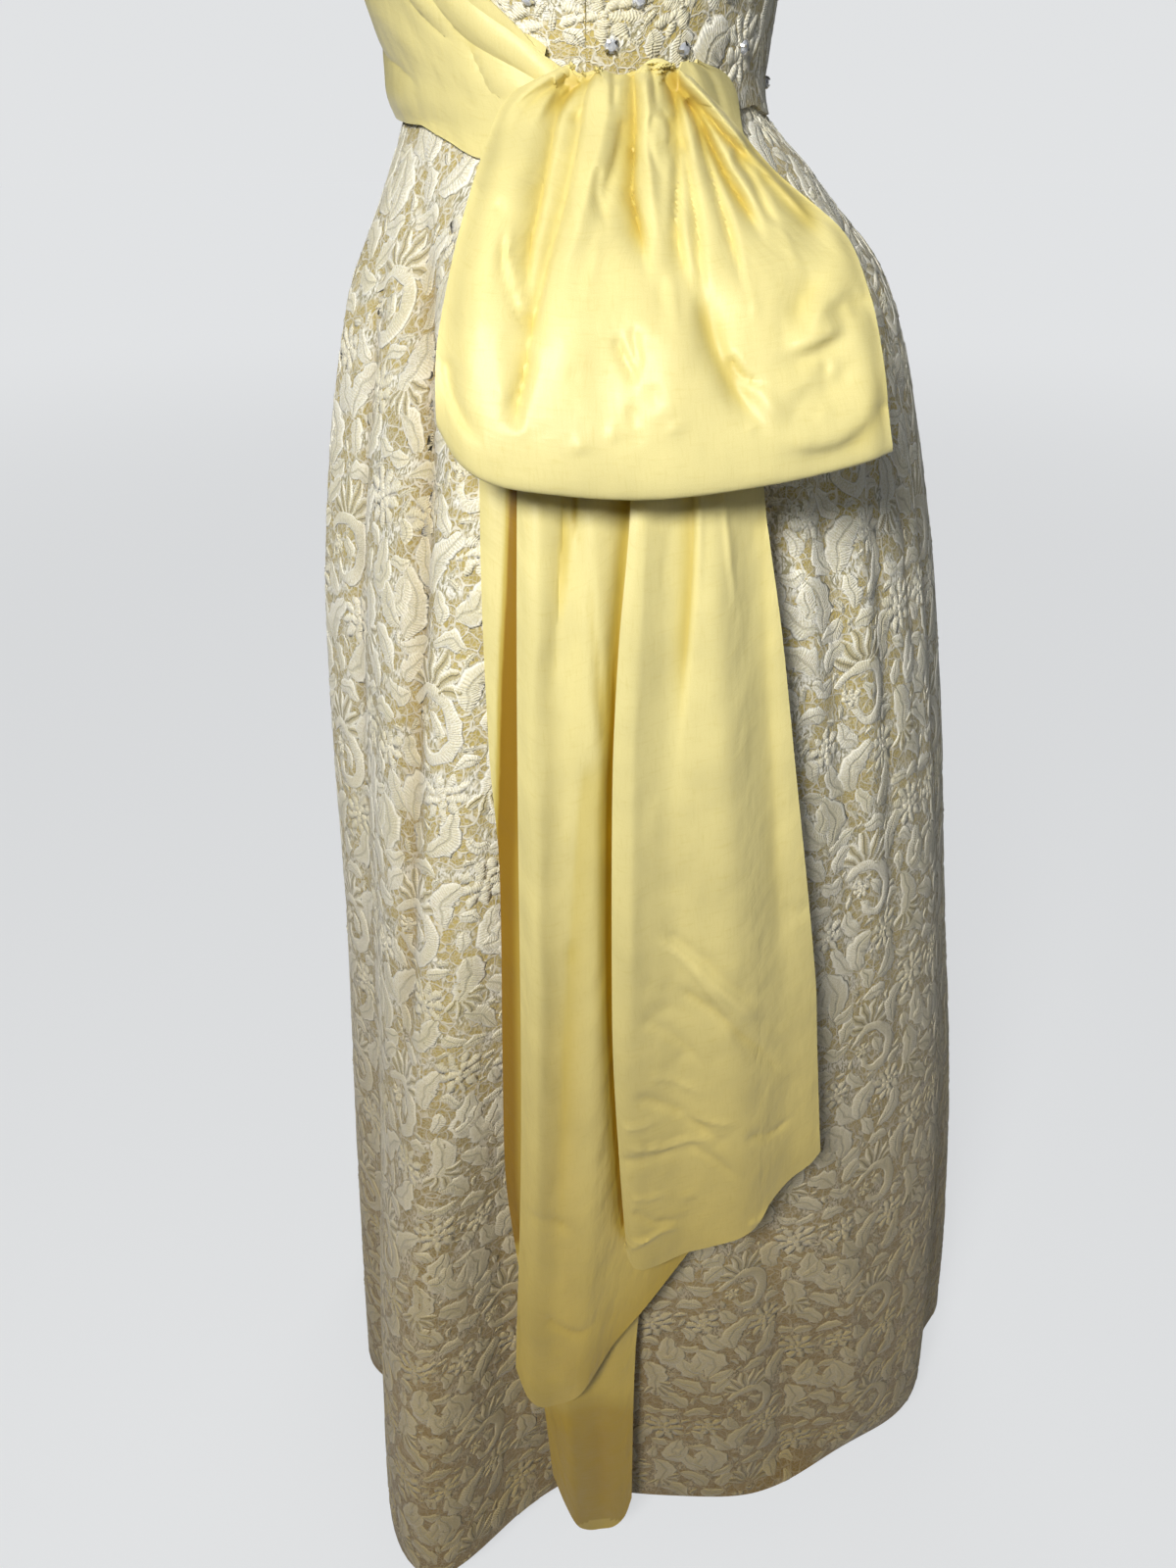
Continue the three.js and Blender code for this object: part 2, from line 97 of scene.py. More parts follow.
# Angles are degrees round from the front to the wearer's left, at the waist and at the hem.
SKIRT_FOLDS = table(
    "waist hem before after depth start full",
    (-24, -18, 11, 10, 24, 120, 1020),
    (8, 4, 12, 12, -24, 200, 1020),
    (47, 34, 7, 9, -14, 0, 900),
    (61, 65, 18, 9.5, 86, 40, 1020),
    (84, 88, 7, 9, -9, 200, 900),
    (108, 114, 10, 12, 13, 350, 900),
    (134, 142, 10, 12, 7, 500, 1020),
    (168, 162, 10, 9, -14, 100, 1000),
    (196, 199, 9, 10, 19, 80, 1020),
    (216, 218, 9, 9, -15, 120, 900),
    (236, 240, 9, 11, 24, 60, 1020),
    (262, 263, 10, 8, -16, 150, 1000),
    (288, 286, 9, 10, 30, 60, 1020),
    (312, 311, 9, 9, -18, 140, 950),
)


def read(rows, value, column):
    """A column at values of the table's first column: a smooth cubic through the rows."""
    key, values = next(iter(rows.values())), rows[column]
    slopes = np.empty_like(values)
    slopes[1:-1] = (values[2:] - values[:-2]) / (key[2:] - key[:-2])
    slopes[0] = (values[1] - values[0]) / (key[1] - key[0])
    slopes[-1] = (values[-1] - values[-2]) / (key[-1] - key[-2])
    i = np.clip(np.searchsorted(key, value) - 1, 0, len(key) - 2)
    span = key[i + 1] - key[i]
    t = np.clip((value - key[i]) / span, 0, 1)
    ease = t * t * (3 - 2 * t)
    bends = slopes[i] * (1 - t) - slopes[i + 1] * t
    return values[i] * (1 - ease) + values[i + 1] * ease + span * t * (1 - t) * bends


def lerp(a, b, t):
    return a + (b - a) * t


def bump(distance, width):
    """A round hump, 1 at no distance."""
    return np.exp(-((distance / width) ** 2))


def smooth(low, high, value):
    """0 at low and beyond, 1 at high and beyond, smooth between. low may be the greater."""
    t = np.clip((value - low) / (high - low), 0, 1)
    return t * t * (3 - 2 * t)


def around(degrees):
    """An angle as one from -180 to 180 degrees."""
    return (degrees + 180) % 360 - 180


def fold_depth(angle, z):
    """How far the skirt's folds stand out at an angle and a height."""
    drop = WAIST - z
    share = np.clip(drop / (WAIST - HEM), 0, 1)
    total = np.zeros(np.broadcast(angle, z).shape)
    for waist, hem, before, after, depth, start, full in zip(*SKIRT_FOLDS.values()):
        off = around(angle - lerp(waist, hem, share))
        grown = np.clip((drop - start) / (full - start), 0, 1)
        total += depth * grown * bump(off, np.where(off < 0, before, after))
    return total


def form(angle, z):
    """Points of the gown's form at angles round from the front and at heights."""
    angle, z = np.broadcast_arrays(np.asarray(angle, float), np.asarray(z, float))
    c, s = np.cos(np.radians(angle)), np.sin(np.radians(angle))
    power = 2 / read(SECTIONS, z, "square")
    deep = np.where(c > 0, read(SECTIONS, z, "front"), read(SECTIONS, z, "back"))
    wide = np.where(s > 0, read(SECTIONS, z, "left"), read(SECTIONS, z, "right"))
    out = fold_depth(angle, z) / np.hypot(c / deep, s / wide)
    x = -np.sign(c) * deep * np.abs(c) ** power - c / deep * out
    y = -np.sign(s) * wide * np.abs(s) ** power - s / wide * out
    return np.stack([x, y, z], -1)


def shoulder_height(out):
    return -np.maximum(0, out - NECK["side"]) * SHOULDER_SLOPE


def yoke(angle, z):
    """The form above the underarm: cloth runs straight up at one width and closes on the shoulder."""
    level = form(angle, np.minimum(z, UNDERARM))
    x, y = level[..., 0], level[..., 1]
    top = shoulder_height(np.abs(y))
    below = np.clip((top - z) / (top - UNDERARM), 0, 1)
    lower, upper = (np.where(x < 0, a, b) for a, b in zip(YOKE_FRONT, YOKE_BACK))
    rise = (1 - (1 - below) ** lower) ** upper
    return np.stack([np.where(z > UNDERARM, x * rise, x), y, z + 0 * x], -1)


def side_reach(x, z):
    """How far out to the left the plain skirt reaches, at a place along the gown's depth."""
    square = read(SECTIONS, z, "square")
    deep = np.where(x < 0, read(SECTIONS, z, "front"), read(SECTIONS, z, "back"))
    inside = np.maximum(0, 1 - np.abs(x / deep) ** square)
    return read(SECTIONS, z, "left") * inside ** (1 / square)


# ---- Cloth: a grid of points, its creases and its mesh ----

def curve(points, steps):
    """A smooth line through control points, evenly stepped in its parameter."""
    points = np.asarray(points, float)
    padded = np.vstack([2 * points[0] - points[1], points, 2 * points[-1] - points[-2]])
    at = np.linspace(0, len(points) - 1, steps + 1)
    i = np.minimum(at.astype(int), len(points) - 2)
    t = (at - i)[:, None]
    p0, p1, p2, p3 = (padded[i + k] for k in range(4))
    return 0.5 * (2 * p1 + (p2 - p0) * t + (2 * p0 - 5 * p1 + 4 * p2 - p3) * t**2
                  + (3 * p1 - p0 - 3 * p2 + p3) * t**3)


SOFT_BOTTOM = 0.8  # radius to which most creases' bottoms are rounded
CREASE_STEPS = 8  # straight steps between two of a crease's places
CREASE_REACH = 3  # widths past which a crease has died out
CREASE_PROFILE = 1.25  # power of its profile: 1 is a sharp edge, 2 a round one
RIDGE_HIGHLIGHT = 0.5  # how much a ridge's height counts in its painted highlight, against the depth of a hollow in its painted shade


def crease(*path, depth, width, tone=0.0, fade=(0.15, 0.35), soft=SOFT_BOTTOM):
    """A crease along a path on the cloth, a trough where depth is negative. Its places count down
    the cloth. width is how far it spreads, or how far on the path's left and right hand. A tone under
    zero paints shade that deepens its colour, as in a fold too narrow for light, and one over zero
    paints a highlight that pales it. Its depth also paints shade in a hollow and highlight on a ridge.
    fade is the share of each end over which it dies out, and soft the radius to which its bottom is
    rounded."""
    left, right = width if isinstance(width, tuple) else (width, width)
    return {"path": path, "left": left, "right": right, "depth": depth, "tone": tone, "fade": fade,
            "soft": soft}


def relief(x, y, creases):
    """Height of the creases at places on the cloth, in its own millimetres, and their painted shading:
    shade in hollows, highlight on ridges.
    """
    height, tone = np.zeros(x.shape), np.zeros(x.shape)
    for row in creases:
        line = curve(row["path"], CREASE_STEPS * (len(row["path"]) - 1))
        reach = CREASE_REACH * max(row["left"], row["right"])
        low, high = line.min(0) - reach, line.max(0) + reach
        near = (x > low[0]) & (x < high[0]) & (y > low[1]) & (y < high[1])
        if not near.any():
            continue
        px, py = x[near][:, None], y[near][:, None]
        a, d = line[:-1], np.diff(line, axis=0)
        t = np.clip(((px - a[:, 0]) * d[:, 0] + (py - a[:, 1]) * d[:, 1]) / (d**2).sum(1), 0, 1)
        gap = np.hypot(px - a[:, 0] - t * d[:, 0], py - a[:, 1] - t * d[:, 1])
        k = gap.argmin(1)
        pick = np.arange(len(k)), k
        turn = d[k, 0] * (py[:, 0] - a[k, 1]) - d[k, 1] * (px[:, 0] - a[k, 0])
        clear = np.hypot(gap[pick], row["soft"]) - row["soft"]
        off = clear / np.where(turn < 0, row["left"], row["right"])
        along = (k + t[pick]) / len(d)
        fade = smooth(0, row["fade"][0] + 1e-6, along) * smooth(0, row["fade"][1] + 1e-6, 1 - along)
        shape = fade * np.exp(-(off**CREASE_PROFILE))
        height[near] += row["depth"] * shape
        # Painted shading: a hollow's depth and a negative tone paint shade, a ridge and a positive tone
        # paint highlight.
        tone[near] += (min(row["depth"], 0) + RIDGE_HIGHLIGHT * max(row["depth"], 0) + row["tone"]) * shape
    return height, tone


HEADING_SPREAD, SWAY_SPREAD = 0.12, 0.06  # how much fine creases stray from their heading and bend
LOPSIDED = 1.8  # how much wider one hand of a fine crease is than the other
FINE_FADE = (0.35, 0.45)


def fine_creases(seed, count, spot, aim, length, depth, width):
    """Small creases to go between the main ones. spot gives a start from two shares, aim the heading
    there. length, depth and width are the least and the greatest of each."""
    chance = np.random.default_rng(seed)
    made = []
    for _ in range(count):
        start = np.array(spot(*chance.random(2)))
        heading = np.array(aim(*start)) + chance.normal(0, HEADING_SPREAD, 2)
        run = heading / np.linalg.norm(heading) * lerp(*length, chance.random() ** 2)
        sway = np.array([-run[1], run[0]]) * chance.normal(0, SWAY_SPREAD)
        deep, narrow = lerp(*depth, chance.random()), lerp(*width, chance.random())
        hands = (narrow, narrow * LOPSIDED) if chance.random() < 0.5 else (narrow * LOPSIDED, narrow)
        places = tuple(start), tuple(start + run / 2 + sway), tuple(start + run)
        made.append(crease(*places, depth=deep, width=hands, fade=FINE_FADE))
    return made


def grid_normals(points, looped=False):
    """Unit normals of a grid whose columns run to the right and whose rows run up, seen from outside."""
    du = np.gradient(points, axis=1)
    wrapped = np.concatenate([points[-2:], points, points[:2]]) if looped else points
    dv = np.gradient(wrapped, axis=0)
    if looped:
        dv = dv[2:-2]
    normal = np.cross(du, dv)
    return normal / np.maximum(np.linalg.norm(normal, axis=-1, keepdims=True), 1e-9)


class Cloth:
    """One piece of cloth on the gown: rows of points from its lower to its upper edge."""

    def __init__(self, points, looped=False):
        self.points = points
        self.looped = looped
        self.normals = grid_normals(points, looped)
        steps = np.linalg.norm(np.diff(points, axis=1), axis=-1)
        run = np.concatenate([np.zeros((len(points), 1)), np.cumsum(steps, 1)], 1)
        self.across = run - run[:, [points.shape[1] // 2]]
        rise = np.linalg.norm(np.diff(points, axis=0), axis=-1).mean(1)
        self.up = np.concatenate([[0], np.cumsum(rise)])
        # Painted shading of each point: shade under zero, highlight over zero.
        self.trough = np.zeros(points.shape[:2])

    def lifted(self, height, tone=0.0):
        """A copy of the cloth moved out along its own normals by a height or a grid of heights, with tone
        added to its painted shading.
        """
        moved = Cloth(self.points + self.normals * np.broadcast_to(height, self.trough.shape)[..., None],
                      self.looped)
        moved.trough = self.trough + tone
        return moved

    def size(self):
        """Its greatest level width and its length, in metres, and its flat area in square metres."""
        p = self.points
        a, b = p[1:, :-1] - p[:-1, :-1], p[:-1, 1:] - p[:-1, :-1]
        area = np.linalg.norm(np.cross(a, b), axis=-1).sum() * MM * MM
        steps = np.diff(p, axis=1)
        width = np.hypot(steps[..., 0], steps[..., 1]).sum(1).max() * MM
        return width, self.up[-1] * MM, min(area, width * self.up[-1] * MM)

    def at(self, across, up, height):
        """Points at cloth distances, raised off the cloth by a height, and the cloth's painted shading
        there.
        """
        row = np.clip(np.interp(up, self.up, np.arange(len(self.up))), 0, len(self.up) - 1.001)
        j = row.astype(int)
        share = (row - j)[:, None]
        columns = self.across.shape[1]
        place = np.empty(len(across))
        for k in np.unique(j):
            here = j == k
            low = np.interp(across[here], self.across[k], np.arange(columns))
            high = np.interp(across[here], self.across[k + 1], np.arange(columns))
            place[here] = lerp(low, high, share[here, 0])
        place = np.clip(place, 0, columns - 1.001)
        i = place.astype(int)
        side = (place - i)[:, None]

        def blend(grid):
            low = lerp(grid[j, i], grid[j, i + 1], side)
            return lerp(low, lerp(grid[j + 1, i], grid[j + 1, i + 1], side), share)

        points = blend(self.points) + blend(self.normals) * height[:, None]
        return points, blend(self.trough[..., None])[:, 0]

    def edges(self, up):
        """Its left and right edge, in cloth distance, at a distance up it."""
        return np.interp(up, self.up, self.across[:, 0]), np.interp(up, self.up, self.across[:, -1])


def make_mesh(name, points, faces, finishes, slots=None, uv=None, values=None, sharp=180):
    """A mesh from millimetre points and quads. values are numbers or shares kept on its points."""
    mesh = bpy.data.meshes.new(name)
    faces = np.asarray(faces, np.int32)
    mesh.vertices.add(len(points))
    mesh.vertices.foreach_set("co", (np.asarray(points) * MM).astype(np.float32).ravel())
    mesh.loops.add(faces.size)
    mesh.loops.foreach_set("vertex_index", faces.ravel())
    mesh.polygons.add(len(faces))
    mesh.polygons.foreach_set("loop_start", np.arange(0, faces.size, faces.shape[1], dtype=np.int32))
    mesh.polygons.foreach_set("use_smooth", np.ones(len(faces), bool))
    for finish in finishes:
        mesh.materials.append(finish)
    if slots is not None:
        mesh.polygons.foreach_set("material_index", np.asarray(slots, np.int32))
    mesh.update(calc_edges=True)
    if sharp < 180:
        mesh.set_sharp_from_angle(angle=math.radians(sharp))
    if uv is not None:
        layer = mesh.uv_layers.new(name="cloth")
        layer.data.foreach_set("uv", (uv[faces.ravel()] * MM).astype(np.float32).ravel())
    for key, value in (values or {}).items():
        mesh.attributes.new(key, "FLOAT", "POINT").data.foreach_set("value", value.astype(np.float32))
    mesh.validate()
    piece = bpy.data.objects.new(name, mesh)
    bpy.context.scene.collection.objects.link(piece)
    return piece


SHARP = 50  # degrees between faces past which an edge isn't smoothed


def shell(name, cloth, outer, inner, finishes):
    """A closed wall on a cloth, between two heights over it. finishes are its outside and its inside."""
    rows, columns = cloth.trough.shape
    turn = rows if cloth.looped else rows - 1
    top = cloth.points + cloth.normals * outer
    under = cloth.points + cloth.normals * inner
    points = np.concatenate([top.reshape(-1, 3), under.reshape(-1, 3)])
    j, i = np.meshgrid(np.arange(turn), np.arange(columns - 1), indexing="ij")
    up = (j + 1) % rows
    a, d = (j * columns + i).ravel(), (up * columns + i).ravel()
    b, c = a + 1, d + 1
    half = rows * columns
    faces = [np.stack([a, b, c, d], 1), np.stack([a, d, c, b], 1) + half]
    j = np.arange(turn)
    up = (j + 1) % rows
    low, high = j * columns, up * columns
    faces.append(np.stack([low, high, high + half, low + half], 1))
    low, high = low + columns - 1, high + columns - 1
    faces.append(np.stack([low, low + half, high + half, high], 1))
    if not cloth.looped:
        i = np.arange(columns - 1)
        faces.append(np.stack([i, i + half, i + 1 + half, i + 1], 1))
        i = i + (rows - 1) * columns
        faces.append(np.stack([i, i + 1, i + 1 + half, i + half], 1))
    inside = np.concatenate([np.full(len(group), k == 1) for k, group in enumerate(faces)])
    spread = np.stack([cloth.across, np.broadcast_to(cloth.up[:, None], cloth.across.shape)], -1)
    uv = np.tile(spread.reshape(-1, 2), (2, 1))
    # The cloth's painted shading, on both walls, for the finishes to read.
    depth = np.tile(cloth.trough.ravel(), 2)
    return make_mesh(name, points, np.concatenate(faces), finishes, inside, uv, {"trough": depth}, SHARP)


# ---- Finishes ----

PAINTED_SHADE_FROM, PAINTED_SHADE_FULLY = WAIST - 200, HEM + 100  # heights between which painted shade darkens the cloth towards the hem, where the light falls off


class Finish:
    """A material with one Principled shader, and short calls to add nodes to it."""

    def __init__(self, name, **sockets):
        self.material = bpy.data.materials.new(name)
        self.material.use_nodes = True
        self.tree = self.material.node_tree
        self.shader = self.tree.nodes["Principled BSDF"]
        for socket, value in sockets.items():
            self.shader.inputs[socket.replace("_", " ").title().replace("Ior", "IOR")].default_value = value

    def add(self, kind, inputs=None, **settings):
        node = self.tree.nodes.new(kind)
        for key, value in settings.items():
            setattr(node, key, value)
        for key, value in (inputs or {}).items():
            if isinstance(value, bpy.types.NodeSocket):
                self.tree.links.new(value, node.inputs[key])
            else:
                node.inputs[key].default_value = value
        return node

    def math(self, operation, a, b=0.0, c=0.0):
        node = self.add("ShaderNodeMath", {0: a, 1: b}, operation=operation)
        if isinstance(c, bpy.types.NodeSocket):
            self.tree.links.new(c, node.inputs[2])
        else:
            node.inputs[2].default_value = c
        return node.outputs[0]

    def ramp(self, value, low, high):
        """0 below low, 1 above high, smooth between."""
        node = self.add("ShaderNodeMapRange", {"Value": value, "From Min": low, "From Max": high},
                        interpolation_type="SMOOTHSTEP")
        return node.outputs["Result"]

    def mix(self, share, a, b):
        return self.add("ShaderNodeMix", {0: share, 6: a, 7: b}, data_type="RGBA").outputs[2]

    def cloth_place(self):
        return self.add("ShaderNodeUVMap", uv_map="cloth").outputs[0]

    def noise(self, place, scale, detail, stretch=None):
        if stretch:
            place = self.add("ShaderNodeMapping", {"Vector": place, "Scale": stretch}).outputs[0]
        inputs = {"Vector": place, "Scale": scale, "Detail": detail}
        return self.add("ShaderNodeTexNoise", inputs).outputs[0]

    def with_painted_shade(self, colour, towards="C8B68C"):
        """A colour of the cloth with painted shade: browner and darker towards the hem, where the light
        falls off, and in deep troughs.
        """
        place = self.add("ShaderNodeTexCoord").outputs["Object"]
        height = self.add("ShaderNodeSeparateXYZ", {0: place}).outputs[2]
        # Painted shade: darker and browner towards the hem as the light falls off, and in deep creases.
        low = self.ramp(height, PAINTED_SHADE_FROM * MM, PAINTED_SHADE_FULLY * MM)
        trough = self.ramp(self.attribute("trough"), -2.0, -14.0)
        share = self.math("MAXIMUM", low, self.math("MULTIPLY", trough, 0.9))
        in_shade = self.add("ShaderNodeMix", {0: 1.0, 6: colour, 7: tint(towards)}, data_type="RGBA",
                           blend_type="MULTIPLY").outputs[2]
        return self.mix(share, colour, in_shade)

    def crinkle(self, place):
        """Fine upright puckers, as lace has where it hangs gathered."""
        return self.noise(place, 150, 2, (1, 0.4, 1))

    def attribute(self, name):
        return self.add("ShaderNodeAttribute", attribute_name=name).outputs["Fac"]

    def colour(self, value):
        self.tree.links.new(value, self.shader.inputs["Base Color"])

    def roughness(self, value):
        self.tree.links.new(value, self.shader.inputs["Roughness"])

    def bumps(self, *layers):
        """Each layer is a height, and how far it stands in metres."""
        normal = None
        for height, distance in layers:
            inputs = {"Height": height, "Distance": distance, "Strength": 1.0}
            if normal is not None:
                inputs["Normal"] = normal
            normal = self.add("ShaderNodeBump", inputs).outputs[0]
        self.tree.links.new(normal, self.shader.inputs["Normal"])


def tint(hexcode):
    """A linear colour from a web colour."""
    parts = [int(hexcode[k:k + 2], 16) / 255 for k in (0, 2, 4)]
    return [p / 12.92 if p <= 0.04045 else ((p + 0.055) / 1.055) ** 2.4 for p in parts] + [1.0]


def satin_finish(name, light, deep, deepest_shade, roughness=0.4):
    """Satin: a soft gloss, a slubbed weave, faint ripples, a painted highlight on its ridges, and painted
    shade: a gold that deepens in its creases, and browner towards the hem.
    """
    made = Finish(name, roughness=roughness, specular_ior_level=0.35, sheen_weight=0.06,
                  sheen_roughness=0.4)
    place = made.cloth_place()
    weave = made.noise(place, 2200, 2)
    slub = made.noise(place, 420, 2, (0.2, 1, 1))
    thread = made.noise(place, 900, 1, (1, 0.12, 1))
    wave = made.noise(place, 22, 2)
    ripple = made.noise(place, 90, 2, (1, 0.35, 1))
    trough = made.attribute("trough")
    coat = made.mix(made.ramp(wave, 0.36, 0.68), shaded(light, 1.03), shaded(light, 0.94))
    # Each layer: where it shows, between which values, how strongly, and its colour.
    for value, low, high, strength, colour in (
            (weave, 0.35, 0.7, 0.14, deep),
            (slub, 0.52, 0.78, 0.13, deep),
            (thread, 0.5, 0.8, 0.12, deep),
            # Painted highlight on ridges, then painted shade in creases, deepest where the folds are
            # narrowest.
            (trough, 0.3, 3.0, 0.4, shaded(light, 1.16)),
            (trough, -0.8, -7.0, 0.8, deep),
            (trough, -9.0, -15.0, 0.94, deepest_shade)):
        coat = made.mix(made.math("MULTIPLY", made.ramp(value, low, high), strength), coat, colour)
    # Painted shade towards the hem and in the creases.
    made.colour(made.with_painted_shade(coat, "E2CC84"))
    made.roughness(made.add("ShaderNodeMapRange", {"Value": weave, "To Min": roughness - 0.05,
                                                   "To Max": roughness + 0.1}).outputs[0])
    made.bumps((weave, 0.00006), (slub, 0.00014), (ripple, 0.0006), (wave, 0.0022))
    return made.material


def shaded(colour, factor):
    """A colour made lighter, or darker where factor is under 1."""
    return [c * factor for c in colour[:3]] + [1.0]


def net_finish(name, ground, thread, cloth):
    """The lace's ground: close-woven parts, and windows of fine net over the satin that shows."""
    made = Finish(name, roughness=0.72, sheen_weight=0.2, sheen_roughness=0.5)
    place = made.cloth_place()
    shift = made.add("ShaderNodeTexNoise", {"Vector": place, "Scale": 120.0, "Detail": 2.0}).outputs[1]
    scaled = made.add("ShaderNodeVectorMath", {0: shift, "Scale": 0.007}, operation="SCALE").outputs[0]
    bent = made.add("ShaderNodeVectorMath", {0: place, 1: scaled}, operation="ADD").outputs[0]
    mesh = made.add("ShaderNodeTexVoronoi", {"Vector": bent, "Scale": 420.0}, feature="DISTANCE_TO_EDGE")
    bars = made.add("ShaderNodeTexVoronoi", {"Vector": bent, "Scale": 120.0}, feature="DISTANCE_TO_EDGE")
    fine = made.ramp(mesh.outputs["Distance"], 0.16, 0.04)
    coarse = made.ramp(bars.outputs["Distance"], 0.08, 0.03)
    threads = made.math("MAXIMUM", made.math("MULTIPLY", fine, 0.5), coarse)
    window = made.ramp(made.noise(place, 55, 1), 0.36, 0.5)
    patch = made.ramp(made.noise(place, 9, 2), 0.35, 0.65)
    base = made.mix(patch, ground, shaded(ground, 1.3))
    netted = made.mix(made.math("MULTIPLY", threads, 0.75), base, shaded(cloth, 0.92))
    grain = made.noise(bent, 700, 3, (1, 0.35, 1))
    woven = made.mix(made.ramp(grain, 0.38, 0.6), shaded(thread, 0.6), cloth)
    # Painted shade towards the hem and in the folds.
    made.colour(made.with_painted_shade(made.mix(made.math("MULTIPLY", window, 0.95), woven, netted), "C0AA82"))
    made.bumps((made.crinkle(place), 0.0010), (threads, 0.0004), (grain, 0.0005))
    return made.material


def motif_finish(name, light, shade, ground):
    """Woven lace motifs: a ribbed filling between raised cords, with veins down the leaves, a painted
    highlight on the cords and a painted shadow along each motif's edge.
    """
    made = Finish(name, roughness=0.74, sheen_weight=0.3, sheen_roughness=0.5)
    place = made.cloth_place()
    across = made.math("ABSOLUTE", made.attribute("across"))
    along = made.attribute("along")
    ribs = made.math("SINE", made.math("MULTIPLY_ADD", along, 4.6, made.math("MULTIPLY", across, 2.4)))
    fuzz = made.noise(place, 900, 3)
    patch = made.ramp(made.noise(place, 14, 2), 0.35, 0.65)
    # Painted highlight where the raised cords catch the light.
    cord = made.ramp(across, 0.55, 0.8)
    filling = made.mix(made.math("MULTIPLY", patch, 0.42), shaded(light, 1.04), shade)
    ribbed = made.mix(made.math("MULTIPLY_ADD", ribs, 0.14, 0.14), filling, shade)
    worn = made.mix(made.math("MULTIPLY", made.ramp(fuzz, 0.42, 0.66), 0.6), ribbed, shade)
    vein = made.math("MULTIPLY", made.ramp(across, 0.16, 0.03), made.attribute("vein"))
    veined = made.mix(made.math("MULTIPLY", vein, 0.4), worn, shaded(shade, 0.6))
    window = made.math("MULTIPLY", made.ramp(across, 0.5, 0.36),
                       made.ramp(made.attribute("vein"), 1.2, 1.8))
    opened = made.mix(made.math("MULTIPLY", window, 0.55), veined, ground)
    cord_highlighted = made.mix(made.math("MULTIPLY", cord, 0.8), opened, shaded(light, 1.05))
    # Painted shadow: a thin dark line along each motif's edge.
    edge_shadow = made.math("MULTIPLY", made.ramp(across, 0.8, 0.97), 0.85)
    edge_shadowed = made.mix(edge_shadow, cord_highlighted, shaded(shade, 0.36))
    # Painted shade towards the hem and in the folds.
    made.colour(made.with_painted_shade(edge_shadowed))
    made.bumps((made.crinkle(place), 0.0010), (ribs, 0.00012), (fuzz, 0.00035), (vein, -0.0004))
    return made.material


FINISHES = {}


def finish(name):
    """The gown's materials, each made once."""
    if name not in FINISHES:
        gown = bpy.context.scene.gown
        lace, shade, ground = gown.lace_colour[:], gown.lace_shade[:], gown.ground_colour[:]
        satin, deep, under = gown.satin_colour[:], gown.satin_shade[:], gown.underskirt_colour[:]
        makers = {
            # The last colour of each satin is its deepest painted shade, in the narrowest folds.
            "satin": lambda: satin_finish("satin", satin, deep, tint("A08200")),
            "underskirt": lambda: satin_finish("underskirt satin", under, tint("9A8444"), tint("6A5520"),
                                               0.5),
            "net": lambda: net_finish("net over satin", ground, shade, lace),
            "motif": lambda: motif_finish("lace motif", lace, shade, ground),
        }
        FINISHES[name] = makers[name]()
    return FINISHES[name]


# ---- Lace: a repeat of flowers, leaves and scrolls, laid over the cloth ----

REPEAT_ACROSS, REPEAT_UP, REPEAT_STEP = 116.0, 134.0, 67.0  # each column starts half a repeat lower
LACE_SINK = -0.2  # how far a motif's edges reach into the net
EDGE = 0.04  # how near to a panel's edge its motifs reach
LEAST_HALF_WIDTH = 0.25


def stroke(points, widths, steps, vein=0.0, cord=True, lobes=0, slant=0.0, lift=0.0):
    """A motif's part: a line on the cloth with its half width along it. A corded part has a raised
    rim, others are domed. lobes scallop its edges, and slant sweeps them forward, as a leaf's."""
    line = curve(points, steps)
    share = np.linspace(0, 1, steps + 1)
    spread = np.interp(share, np.linspace(0, 1, len(widths)), widths)
    if lobes:
        spread = spread * (0.7 + 0.3 * np.abs(np.sin(np.pi * lobes * share)) ** 0.7)
    return {"line": line, "width": np.maximum(spread, LEAST_HALF_WIDTH), "vein": vein, "cord": cord,
            "slant": slant, "lift": lift}


def polar(angle, radius):
    """A step on the cloth at an angle, counted clockwise from straight up."""
    return np.array([math.sin(math.radians(angle)), math.cos(math.radians(angle))]) * radius


def petal(x, y, angle, inner, outer, width, lift, steps=3):
    """A petal or lobe with a round end, from inside a motif outwards."""
    line = [np.array([x, y]) + polar(angle, r) for r in (inner, lerp(inner, outer, 0.5), outer)]
    return stroke(line, [width * w for w in (0.45, 0.9, 1, 0.55)], steps, cord=False, lift=lift)


def rosette(x, y, radius, petals, turn):
    """A full round flower: outer petals, inner petals over them, and an eye."""
    width = radius * math.sin(math.pi / petals) * 0.94
    parts = [petal(x, y, turn + k * 360 / petals, radius * 0.36, radius * (0.96 + 0.08 * (k % 2)), width,
                   0.12 * (k % 2)) for k in range(petals)]
    inner = 5
    inner_width = radius * 0.56 * math.sin(math.pi / inner)
    parts += [petal(x, y, turn + 20 + k * 360 / inner, radius * 0.1, radius * 0.52, inner_width,
                    0.3 + 0.1 * (k % 2), steps=2) for k in range(inner)]
    eye = radius * 0.13
    parts.append(stroke([(x, y - eye), (x, y), (x, y + eye)], [eye * 0.5, eye, eye * 0.5], 2, lift=0.6))
    return parts


def leaf(x, y, angle, length, width, bend):
    """A small leaf or bar that starts at a place, heads off at an angle and bends."""
    start = np.array([x, y])
    middle = start + polar(angle, length * 0.5)
    tip = middle + polar(angle + bend, length * 0.5)
    return stroke([start, middle, tip], [width * w for w in (0.4, 0.95, 0.95, 0.45)], 3, 1.0, cord=False)


